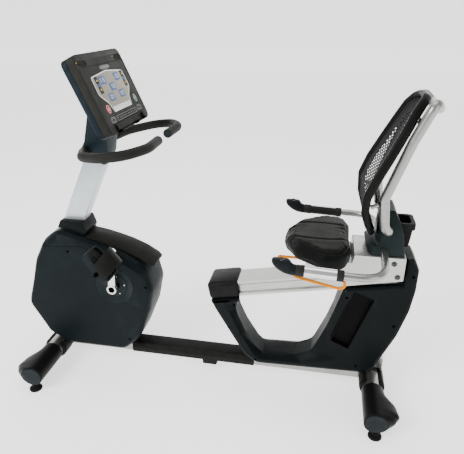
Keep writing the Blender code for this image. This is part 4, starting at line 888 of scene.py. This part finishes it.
def build_console_trim():
    slats, ribs, lamps = bmesh.new(), bmesh.new(), bmesh.new()
    for side in (-1.0, 1.0):
        for k in range(5):
            reach = 0.0185 + 0.009 * (1.0 - abs(k - 2) / 2.6)
            add_box(slats, (2.0 * reach, 0.0014, 0.0014), (side * 0.138, 0.0975 + 0.0035 * k, 0.0247), 0.0004)
        for k in range(36):
            centre = (side * 0.1768, -0.098 + 0.0053 * k, FACE - 0.0001)
            add_box(ribs, (0.0058, 0.0028, 0.0012), centre, 0.0004)
    for x in (-0.169, 0.104):
        lens = ((0.0, -0.0004), (0.0019, -0.0004), (0.0017, 0.0005), (0.001, 0.001), (0.0, 0.0012))
        add_turned(lamps, lens, (x, 0.1095, FACE), Z_AXIS, 16)
    console_piece("vent_slats", slats, "vent")
    console_piece("edge_ribs", ribs, "vent")
    console_piece("power_lamps", lamps, "lamp")
    badge = ellipse(0.004, 0.0795, 0.04, 0.0072, 48, 3.2)
    slabs("blank_badge", "badge", [badge], FACE - 0.0003, FACE + 0.0008, 0.0004, "black_trim")
    rim = ellipse(0.004, 0.0795, 0.0375, 0.0054, 48, 3.2)
    frames("badge_ring", "vent", [(rim, 0.0008, FACE + 0.0007, FACE + 0.0011)])


def add_digit(shape, x, y, size, segments, low):
    """Seven-segment figure from short bars."""
    for key in segments:
        across, up, flat = SEGMENTS[key]
        cx, cy = x + across * size * 0.5, y + up * size
        reach, half = size * 0.21, size * 0.065
        rx, ry = (reach, half) if flat else (half, reach)
        outline = block_outline(cx - rx, cy - ry, cx + rx, cy + ry)
        add_loft(shape, [level(outline, low), level(outline, low + 0.00012)])


def box_at(x, y, rx, ry, radius):
    return block_outline(x - rx, y - ry, x + rx, y + ry, radius)


def build_display():
    """Glass with its border, and five boxes that each show three figures."""
    glass = [shrunk(WINDOW, GAP)]
    slabs("display_panel", "membrane", glass, 0.0228, GLASS, 0.0004, replaced=["display_window"])
    frames("display_border", "white_ink", [(shrunk(WINDOW, 0.001), 0.003, *ON_GLASS)])
    boxes = ((-0.057, 0.04), (0.061, 0.04), (-0.002, 0.011), (-0.044, -0.021), (0.043, -0.02))
    slabs("lcd_windows", "lcd", [box_at(x, y, 0.0205, 0.0115, 0.002) for x, y in boxes], *ON_GLASS, 0.0001)
    rims = [box_at(x, y, 0.0228, 0.0138, 0.0028) for x, y in boxes]
    frames("lcd_frames", "blue_ink", [(rim, 0.0016, *ON_GLASS) for rim in rims])
    digits = bmesh.new()
    for index, (x, y) in enumerate(boxes):
        for k in range(3):
            reading = READINGS[(index + 2 * k) % 5]
            add_digit(digits, x - 0.0115 + 0.0115 * k, y, 0.0125, reading, GLASS + 0.0002)
    console_piece("lcd_digits", digits, "pale_ink")


def build_level_keys():
    """A pair of arrow keys at each side of the display, with a bar between them."""
    keys, bars = [], []
    arrows = bmesh.new()
    for x in (-0.0965, 0.1115):
        for y0, y1 in ((-0.002, 0.0225), (0.031, 0.056)):
            keys.append(block_outline(x - 0.0115, y0, x + 0.0115, y1, 0.002))
        bars.append(block_outline(x - 0.0125, 0.0232, x + 0.0125, 0.03, 0.001))
        for y, flip in ((0.0435, 1.0), (0.0105, -1.0)):
            base = y - 0.0034 * flip
            arrow = [(x - 0.004, base), (x + 0.004, base), (x, y + 0.004 * flip)]
            add_loft(arrows, [level(arrow, GLASS + height) for height in (0.0004, 0.0006)])
    slabs("level_keys", "key_dark", keys, GLASS - 0.0001, GLASS + 0.0004, 0.0002)
    slabs("level_bars", "blue_ink", bars, *ON_GLASS, 0.0001)
    console_piece("level_arrows", arrows, "yellow_ink")


def build_keys():
    """Program keys on the display, then the keys of the front frame."""
    places = [-0.0615 + 0.0246 * k for k in range(6)]
    keys = [block_outline(x - 0.0108, -0.0685, x + 0.0108, -0.052, 0.003) for x in places]
    slabs("program_keys", "white_ink", keys, GLASS - 0.0001, GLASS + 0.0005, 0.0003)
    heights = (GLASS + 0.0004, GLASS + 0.0006)
    rims = [(ellipse(x, -0.06, 0.0085, 0.006, 28), 0.0008, *heights) for x in places]
    frames("program_key_rims", "grey_ink", rims)

    for name, x, y, look in (
        ("stop_key", -0.113, -0.054, "red_ink"), ("start_key", 0.1265, -0.0525, "green_ink"),
    ):
        slabs(name, look, [ellipse(x, y, 0.0128, 0.015)], FACE - 0.0002, FACE + 0.0008, 0.0004, "black_trim")
        rims = [
            (ellipse(x, y, 0.0118, 0.0138), 0.0012, FACE + 0.0006, FACE + 0.001),
            (ellipse(x, y, 0.0044, 0.0058, 24), 0.0011, FACE + 0.0007, FACE + 0.001),
        ]
        frames(name + "_rim", "white_ink", rims)

    rims = []
    for x, y in ((-0.113, -0.0915), (0.125, -0.0885)):
        rims.append((ellipse(x, y, 0.0185, 0.0098, 40, 3.0), 0.001, *ON_FACE))
        rims.append((ellipse(x, y, 0.012, 0.0048, 32, 3.0), 0.0008, *ON_FACE))
    rims.append((block_outline(-0.084, -0.1, 0.094, -0.0835, 0.004), 0.0007, *ON_FACE))
    frames("page_key_rims", "grey_ink", rims)
    places = [-0.0765 + 0.0148 * k for k in range(12)]
    dots = [ellipse(x, -0.0918, 0.0042, 0.0036, 20) for x in places]
    slabs("number_keys", "key_dark", dots, FACE - 0.0002, FACE + 0.0005, 0.0003, "black_trim")
    heights = (FACE + 0.0003, FACE + 0.0007)
    rims = [(ellipse(x, -0.0918, 0.002, 0.002, 12), 0.0008, *heights) for x in places]
    frames("number_key_marks", "grey_ink", rims)


# ------------------------------------------------------------ bars
# The mirrored bars are given by their right halves, from the middle of the bike.
HANDLEBAR = mm(
    (-440, 0, 948), (-440, 70, 948), (-375, 205, 969), (-285, 262, 985), (-205, 255, 996),
    (-156, 175, 1001), (-163, 50, 998),
)
SEAT_BAR = mm((632, 0, 655), (632, 90, 655), (622, 272, 647), (342, 270, 656))
BACK_TUBE = mm(
    (636, 0, 735), (636, 100, 735), (617, 120, 760), (605, 120, 858), (666, 120, 1045), (716, 120, 1165),
    (738, 60, 1138),
)
BACK_STRUTS = (
    mm((606, 120, 845), (565.3, 126.8, 830.5)),
    mm((691, 120, 1105), (673.3, 111.1, 1109)),
)
LEVER = mm(
    (345, -22, 593), (345, -60, 593), (269, -87, 608.5), (344, -238, 615), (362, -244, 614.5),
    (486, -244, 588.5), (502, -244, 596), (499, -244, 617),
)
BAR_PLUG = mm((0, -1), (11.8, -1), (12, 0.6), (11, 1.4), (9, 1), (0, 0.4))
STRUT_COLLAR = mm((0, 14), (9.2, 14), (9.8, 15.2), (9.8, 18), (9, 19), (7.2, 19.2), (0, 19.2))


def mirrored(half):
    return [Vector((x, -y, z)) for x, y, z in reversed(half)] + [Vector(p) for p in half[1:]]


def build_bars():
    path = spaced(fillet(mirrored(HANDLEBAR), 0.1, 14), 0.012)
    mesh = tube_mesh("handlebar", path, 0.0165, 40, 0.003)
    piece("handlebar_foam", mesh, "foam", "frame", ["handlebar"])
    plugs = bmesh.new()
    for end, inner in ((path[0], path[1]), (path[-1], path[-2])):
        add_turned(plugs, BAR_PLUG, end, end - inner, 40)
    piece("handlebar_plugs", as_mesh(plugs, "plugs"), "grey_shell")

    path = spaced(fillet(mirrored(SEAT_BAR), 0.1, 14), 0.02)
    mesh = tube_mesh("seat_handlebar", path, 0.0127, 36)
    piece("seat_handlebar_skin", mesh, "silver", "seat", ["seat_handlebar"])

    left = [(x, -y, z) for x, y, z in BACK_TUBE]
    path = spaced(fillet(left + list(reversed(BACK_TUBE[1:])), 0.035, 12), 0.02)
    mesh = tube_mesh("backrest_tube", path, 0.016, 36)
    piece("backrest_tube_skin", mesh, "silver", "seat", ["backrest_tube"])

    mesh = tube_mesh("seat_lever", spaced(fillet(LEVER, 0.015, 10), 0.012), 0.0048, 24, 0.0016)
    piece("seat_lever_skin", mesh, "orange", "release_lever", ["seat_lever"])


def build_struts():
    """Short struts between the backrest's tube and its rim, each with a collar."""
    struts, collars = bmesh.new(), bmesh.new()
    for side in (-1.0, 1.0):
        for start, end in BACK_STRUTS:
            start, end = (Vector((x, side * y, z)) for x, y, z in (start, end))
            length = (end - start).length
            profile = (
                (0.0, 0.012), (0.007, 0.012), (0.007, length - 0.0035), (0.0082, length - 0.003),
                (0.0082, length - 0.0006), (0.0076, length), (0.0, length),
            )
            add_turned(struts, profile, start, end - start, 28)
            add_turned(collars, STRUT_COLLAR, start, end - start, 28)
    piece("backrest_struts", as_mesh(struts, "struts"), "silver", "seat")
    piece("strut_collars", as_mesh(collars, "collars"), "trim", "seat")


# ------------------------------------------------------------ grips
GRIP_Y = 0.27
GRIP_REAR = Vector((0.494, 0.0, 0.65))
GRIP_FRONT = Vector((0.344, 0.0, 0.6568))
GRIP_LENGTH = (GRIP_FRONT - GRIP_REAR).length
GRIP_ALONG = (GRIP_FRONT - GRIP_REAR).normalized()
GRIP_UP = (Z_AXIS - GRIP_ALONG * GRIP_ALONG.z).normalized()
BAR_ROOM = 0.013     # radius of the cut for the bar inside
# Rows are x, z, half width, height above, depth below and the squareness of the upper side.
NOSE = (
    (0.344, 0.6568, 0.0178, 0.0178, 0.0178, 2.0),
    (0.3425, 0.6569, 0.0183, 0.0183, 0.0183, 2.0),
    (0.336, 0.6576, 0.0184, 0.0186, 0.0186, 2.0),
    (0.33, 0.659, 0.0184, 0.0205, 0.0194, 2.2),
    (0.326, 0.66, 0.0184, 0.0255, 0.02, 2.6),
    (0.323, 0.6608, 0.0184, 0.029, 0.0203, 3.0),
    (0.318, 0.6622, 0.0185, 0.0302, 0.0208, 3.2),
    (0.308, 0.6658, 0.0187, 0.0277, 0.0214, 3.4),
    (0.296, 0.6708, 0.0187, 0.023, 0.0206, 3.4),
    (0.285, 0.6762, 0.0182, 0.0176, 0.0184, 3.2),
    (0.276, 0.6812, 0.0168, 0.0126, 0.015, 3.0),
    (0.27, 0.685, 0.014, 0.008, 0.0106, 2.6),
    (0.2672, 0.6872, 0.009, 0.004, 0.0056, 2.2),
)
BUTTON_RING = mm((9.6, -0.2), (10.8, -0.2), (10.7, 0.8), (9.9, 1.1), (9.1, 0.6), (9.1, -0.6), (9.6, -0.2))


def nose_ring(x, z, half_y, above, below, square, y):
    """Section of a grip's nose: rounded below, flatter above."""
    ring = []
    for k in range(40):
        c, s = math.cos(math.tau * k / 40), math.sin(math.tau * k / 40)
        power, height = (square, above) if s > 0.0 else (2.0, below)
        reach = half_y * math.copysign(abs(c) ** (2.0 / power), c)
        ring.append(Vector((x, y + reach, z + height * math.copysign(abs(s) ** (2.0 / power), s))))
    return ring


def build_sleeve(hand, rear, out):
    """Foam sleeve with a thicker band at each end and room for the bar."""
    rest = GRIP_LENGTH
    rows = mm((0, 17.2), (0.8, 18), (2, 18.5), (20.6, 18.5), (21.3, 18.1), (21.8, 17.2))
    rows += [(0.0218 + (rest - 0.048) * k / 12, 0.0172) for k in range(1, 12)]
    rows += [
        (rest - 0.0262, 0.0172), (rest - 0.0257, 0.0181), (rest - 0.025, 0.0185), (rest - 0.0012, 0.0185),
        (rest - 0.0004, 0.0181), (rest, 0.0176),
    ]
    rings = [circle(rear + GRIP_ALONG * run, out, GRIP_UP, size, 48) for run, size in rows]
    room = rod("grip_room", BAR_ROOM, rest + 0.01, rear, GRIP_ALONG, 40, -0.01)
    sleeve = smooth_by_angle(carved(loft_mesh("grip_sleeve", rings, 30.0), [room]), 30.0)
    piece("grip_sleeve_" + hand, sleeve, "foam", "seat")


def build_plate(hand, rear, out):
    """Pulse plate: a curved metal sheet let into the outer side of the sleeve."""
    low, high = 0.0226, GRIP_LENGTH - 0.027
    outer, inner, edge = 0.0184, 0.0173, Vector((0.0003, 0.0004))
    rows = []
    for k in range(31):
        share = -1.0 + 2.0 * k / 30
        turn = math.radians(22.0 + 88.0 * share)
        corner = 0.006 * max(0.0, (abs(share) - 0.9) / 0.1) ** 2
        away = out * math.cos(turn) + GRIP_UP * math.sin(turn)
        start, end = rear + GRIP_ALONG * (low + corner), rear + GRIP_ALONG * (high - corner)
        lip = GRIP_ALONG * edge.y
        rows.append([
            start + away * inner, start + away * (outer - edge.x), start + lip + away * outer,
            end - lip + away * outer, end + away * (outer - edge.x), end + away * inner,
        ])
    piece("pulse_plate_" + hand, loft_mesh("pulse_plate", rows, 35.0), "chrome", "seat")


def build_nose(hand, y):
    """Nose of a grip, with a well for the remote button and a ring round it."""
    axis = Vector((-0.1, 0.0, 0.995))
    cutters = [
        rod("button_well", 0.0088, 0.02, (0.296, y, 0.6915), axis, 40, -0.011),
        rod("bar_room", BAR_ROOM, 0.02, (0.3416, y, 0.656), (1.0, 0.0, -0.03), 40),
    ]
    nose = loft_mesh("grip_nose", [nose_ring(*row, y) for row in NOSE], 30.0)
    nose = smooth_by_angle(carved(nose, cutters), 30.0)
    piece("grip_nose_" + hand, nose, "nose", "seat", ["grip_" + hand])
    ring = bmesh.new()
    add_turned(ring, BUTTON_RING, (0.296, y, 0.6925), axis, 40)
    bmesh.ops.remove_doubles(ring, verts=ring.verts, dist=0.00001)
    piece("button_ring_" + hand, as_mesh(ring, "button_ring"), "badge", "seat")


def build_grips():
    for hand, side in HANDS:
        rear = GRIP_REAR + Y_AXIS * side * GRIP_Y
        build_sleeve(hand, rear, Y_AXIS * side)
        build_plate(hand, rear, Y_AXIS * side)
        build_nose(hand, side * GRIP_Y)


# ------------------------------------------------------------ backrest
# Rows are the height, the depth and half the width of the backrest.
BACK_ROWS = mm(
    (705, 572, 55), (745, 554, 90), (800, 536, 125), (865, 533, 150), (935, 559, 152), (1010, 595, 142),
    (1085, 631, 125), (1140, 657, 105), (1170, 678, 75),
)
# The rim's section, in shares of its width inwards and of its depth rearwards.
RIM_SECTION = (
    (0.1, 0.06), (0.32, 0.0), (0.62, 0.03), (0.88, 0.16), (1.0, 0.4), (0.99, 0.72), (0.84, 0.93),
    (0.58, 1.0), (0.3, 1.0), (0.08, 0.88), (0.0, 0.62), (0.0, 0.3),
)
RIM_WIDTH = 0.021
WEAVE_LOW, WEAVE_HIGH = 0.714, 1.168
CELL_HEIGHT = 0.0074
CELLS = 11


def back_point(z, share):
    """Point of the backrest's front at a height and a share of its half width."""
    z = min(max(z, BACK_ROWS[0][0]), BACK_ROWS[-1][0])
    index = next((i for i, row in enumerate(BACK_ROWS[1:-1]) if z <= row[0]), len(BACK_ROWS) - 2)
    low, high = BACK_ROWS[index:index + 2]
    t = (z - low[0]) / (high[0] - low[0])
    x, width = (low[k] + (high[k] - low[k]) * t for k in (1, 2))
    return Vector((x + 0.02 * (1.0 - share * share), width * share, z))


def build_rim():
    path = [back_point(row[0], -1.0) for row in BACK_ROWS]
    path += [Vector((0.691, -0.04, 1.183)), Vector((0.691, 0.04, 1.183))]
    path += [back_point(row[0], 1.0) for row in reversed(BACK_ROWS)]
    path = fillet(path + [Vector((0.57, 0.0, 0.69))], 0.05, 5, cyclic=True)
    middle = Vector((0.62, 0.0, 0.95))
    rings = []
    for i, place in enumerate(path):
        along = (path[(i + 1) % len(path)] - path[i - 1]).normalized()
        rearward = Vector((0.9, 0.0, -0.43))
        rearward = (rearward - along * rearward.dot(along)).normalized()
        inward = along.cross(rearward).normalized()
        if inward.dot(middle - place) < 0.0:
            inward.negate()
        depth = 0.02 + 0.01 * min(max((place.z - 0.7) / 0.2, 0.0), 1.0)
        rings.append([place + inward * (RIM_WIDTH * a) + rearward * (depth * b) for a, b in RIM_SECTION])
    mesh = loft_mesh("backrest_rim", rings, 70.0, cyclic=True)
    obj = piece("backrest_rim", mesh, "rim", "seat", ["backrest_frame"])
    detail = obj.modifiers.new("detail", "SUBSURF")
    detail.levels = detail.render_levels = 1


def weave_point(row, half_step):
    """Corner of the brick pattern: half_step counts half cells across."""
    z = WEAVE_LOW + CELL_HEIGHT * row
    share = half_step / CELLS - 1.0
    point = back_point(z, share)
    point.y = share * (back_point(z, 1.0).y - 0.0195)
    return point + Vector((0.0105, 0.0, -0.005))


def build_weave():
    """Back panel of cells in a brick pattern, open in its middle and closed round its edge."""
    rows = int((WEAVE_HIGH - WEAVE_LOW) / CELL_HEIGHT)
    shape = bmesh.new()
    made = {}

    def vert(row, half_step):
        key = (row, half_step)
        if key not in made:
            made[key] = shape.verts.new(weave_point(row, half_step))
        return made[key]

    for row in range(rows):
        height = row / rows
        reach = (0.4 + 0.35 * math.sin(math.pi * height)) * CELLS
        for start in range(-(row % 2), 2 * CELLS, 2):
            left, right = max(start, 0), min(start + 2, 2 * CELLS)
            steps = list(range(left, right + 1))
            outer = [vert(row, step) for step in steps] + [vert(row + 1, step) for step in reversed(steps)]
            opened = len(steps) == 3 and abs(left + 1 - CELLS) < reach and 0.12 < height < 0.9
            if not opened:
                shape.faces.new(outer)
                continue
            centre = sum((v.co for v in outer), Vector()) / 6
            inner = [shape.verts.new(centre.lerp(v.co, 0.6)) for v in outer]
            for k in range(6):
                n = (k + 1) % 6
                shape.faces.new((outer[k], outer[n], inner[n], inner[k]))
    mesh = as_mesh(shape, "back_panel", 60.0)
    panel = piece("backrest_weave", mesh, "weave", "seat", ["backrest_mesh"])
    wall = panel.modifiers.new("wall", "SOLIDIFY")
    wall.thickness = 0.0016
    wall.offset = 0.0


# ------------------------------------------------------------ seat pad
PAD_OUTLINE = outline_of(mm(
    (286, -45, 40), (286, 45, 40), (330, 125, 80), (425, 192, 70), (500, 180, 50), (527, 110, 50),
    (527, -110, 50), (500, -180, 50), (425, -192, 70), (330, -125, 80),
))
PAD_SEAM = shrunk(PAD_OUTLINE, 0.019)
PAD_LOW, PAD_HIGH = 0.6123, 0.682


def pad_base():
    """Slightly undersized crowned pad, before it is inflated."""
    rings = [
        level(shrunk(PAD_OUTLINE, inwards), z) for z, inwards in (
            (0.6126, 0.016), (0.614, 0.009), (0.62, 0.0055), (0.632, 0.0035), (0.645, 0.003),
            (0.656, 0.004), (0.665, 0.007), (0.671, 0.013), (0.6738, 0.022), (0.675, 0.034),
        )
    ]
    last, centre = rings[-1], Vector((0.42, 0.0))
    for share in (0.7, 0.45, 0.22):
        z = 0.675 + 0.0015 * (1.0 - share)
        rings.append([Vector((centre.x + (p.x - centre.x) * share, p.y * share, z)) for p in last])
    return loft_mesh("seat_pad", rings, 60.0)


def inflate(mesh, cap, voxel=0.005, pressure=4.0):
    """Cloth simulation that swells a closed form, with each point's travel capped."""
    obj = link(bpy.data.objects.new("inflate", mesh))
    remesh = obj.modifiers.new("remesh", "REMESH")
    remesh.mode = "VOXEL"
    remesh.voxel_size = voxel
    start = evaluated(obj)
    rest = [v.co.copy() for v in start.vertices]
    obj = link(bpy.data.objects.new("inflate", start))
    cloth = obj.modifiers.new("cloth", "CLOTH")
    for key, value in (
        ("quality", 6), ("mass", 0.3), ("tension_stiffness", 18.0), ("compression_stiffness", 18.0),
        ("shear_stiffness", 8.0), ("bending_stiffness", 1.5), ("use_pressure", True),
        ("uniform_pressure_force", pressure),
    ):
        setattr(cloth.settings, key, value)
    cloth.settings.effector_weights.gravity = 0.0
    cloth.point_cache.frame_start = 1
    cloth.point_cache.frame_end = 20
    for step in range(1, 21):
        bpy.context.scene.frame_set(step)
    result = evaluated(obj)
    bpy.context.scene.frame_set(1)
    for vertex, origin in zip(result.vertices, rest):
        move = vertex.co - origin
        if move.length > cap:
            vertex.co = origin + move.normalized() * cap
    return result


def groove(distance, width):
    return math.exp(-(distance / width) ** 2)


def ramp(value):
    return min(max(value, 0.0), 1.0)


def seam_distance(x, y):
    """Distance from the seam that runs round the top of the pad."""
    point = Vector((x, y))
    best = 9.0
    for a, b in zip(PAD_SEAM, PAD_SEAM[1:] + PAD_SEAM[:1]):
        t = ramp((point - a).dot(b - a) / max((b - a).length_squared, 1e-12))
        best = min(best, (point - a.lerp(b, t)).length)
    return best


def point_inside(outline, x, y):
    inside = False
    for a, b in zip(outline, outline[1:] + outline[:1]):
        if (a.y > y) != (b.y > y) and x < (b.x - a.x) * (y - a.y) / (b.y - a.y) + a.x:
            inside = not inside
    return inside


def pad_depth(x, y):
    """How far the top of the pad sinks: the seam, two channels with raised sides, the nose and creases."""
    from_seam = seam_distance(x, y)
    run = ramp((x - 0.318) / 0.03) * ramp((0.512 - x) / 0.03)
    beside = abs(y) - 0.056 - 0.016 * math.sin((x - 0.3) / 0.22 * math.pi)
    depth = 0.003 * groove(from_seam, 0.003) + 0.0042 * groove(beside, 0.0042) * run
    depth -= 0.0016 * groove(beside - 0.016, 0.01) * run + 0.0012 * groove(beside + 0.016, 0.01) * run
    depth += 0.003 * ramp((0.335 - x) / 0.05)
    return depth + 0.00035 * math.sin(x * 310.0 + 3.0 * math.sin(y * 60.0)) * groove(from_seam - 0.008, 0.008)


def build_seat_pad():
    shape = bmesh.new()
    shape.from_mesh(inflate(pad_base(), 0.006))
    bmesh.ops.subdivide_edges(shape, edges=shape.edges, cuts=1, use_grid_fill=True, smooth=0.6)
    for vertex in shape.verts:
        if vertex.co.z > 0.655:
            vertex.co.z -= pad_depth(vertex.co.x, vertex.co.y)
        vertex.co.z = min(max(vertex.co.z, PAD_LOW), PAD_HIGH - 0.0002)
    mesh = as_mesh(shape, "seat_pad_cover", 70.0)
    pad = piece("seat_pad_cover", mesh, ("vinyl", "vinyl_side"), "seat", ["seat_pad"])
    for face in mesh.polygons:
        x, y, z = face.center
        face.material_index = 0 if z > 0.66 and point_inside(PAD_SEAM, x, y) else 1


# ------------------------------------------------------------ carriage fittings
CARRIAGE_WASHER = mm((0, -0.4), (9.8, -0.4), (10, 0.6), (9.4, 1.2), (0, 1.2))
CARRIAGE_BOLT = mm((0, 1), (7, 1), (7.4, 2), (6.8, 4.4), (5, 5.6), (3.4, 5.8), (3, 5), (3, 3), (0, 3))


def build_carriage_fittings():
    for name, profile in (("washers", CARRIAGE_WASHER), ("bolts", CARRIAGE_BOLT)):
        shape = bmesh.new()
        for side in (-1.0, 1.0):
            for x, z in ((0.67, 0.614), (0.687, 0.564)):
                add_turned(shape, profile, (x, side * 0.088, z), Y_AXIS * side, 36)
        piece("carriage_" + name, as_mesh(shape, name), "dark_steel", "seat")


dress_plain()
dress_shroud()
dress_rear_covers()
add_screws()
build_hubs()
build_pedals()
build_ends()
dress_console_front()
build_rack_fittings()
build_console_trim()
build_display()
build_level_keys()
build_keys()
build_bars()
build_struts()
build_grips()
build_rim()
build_weave()
build_seat_pad()
build_carriage_fittings()


# ------------------------------------------------------------ studio
def area_light(name, place, target, width, height, power):
    data = bpy.data.lights.new(name, "AREA")
    data.shape = "RECTANGLE"
    data.size, data.size_y, data.energy = width, height, power
    lamp = link(bpy.data.objects.new(name, data))
    lamp.location = place
    lamp.rotation_euler = (Vector(target) - Vector(place)).to_track_quat("-Z", "Y").to_euler()


area_light("key", (-2.6, -3.4, 3.6), (0.0, 0.0, 0.6), 2.2, 2.2, 210.0)
area_light("top", (0.2, 0.4, 4.2), (0.0, 0.0, 0.4), 3.0, 2.4, 60.0)
area_light("fill", (3.4, -2.2, 1.8), (0.2, 0.0, 0.6), 2.0, 2.4, 30.0)

world = bpy.data.worlds.new("studio")
bpy.context.scene.world = world
world.use_nodes = True
sky = world.node_tree.nodes["Background"].inputs
sky["Color"].default_value = (1.0, 1.0, 1.0, 1.0)
sky["Strength"].default_value = 0.7


def studio_floor():
    """Pale floor that rises into a backdrop far behind."""
    shape = bmesh.new()
    profile = ((-30.0, 0.0), (14.0, 0.0), (17.0, 0.4), (19.0, 1.8), (20.0, 4.5), (20.0, 16.0))
    left, right = ([shape.verts.new((x, y, z)) for y, z in profile] for x in (-40.0, 40.0))
    for k in range(len(profile) - 1):
        shape.faces.new((left[k], left[k + 1], right[k + 1], right[k]))
    mesh = as_mesh(shape, "studio_floor", 60.0)
    pale = Shader("studio_floor", (0.93, 0.93, 0.92), 0.75, specular=0.2)
    pale.finish(0.01, 0.03)
    pale.shader.inputs["Emission Color"].default_value = (1.0, 1.0, 1.0, 1.0)
    pale.shader.inputs["Emission Strength"].default_value = 1.2
    mesh.materials.append(pale.material)
    link(bpy.data.objects.new("studio_floor", mesh))


studio_floor()
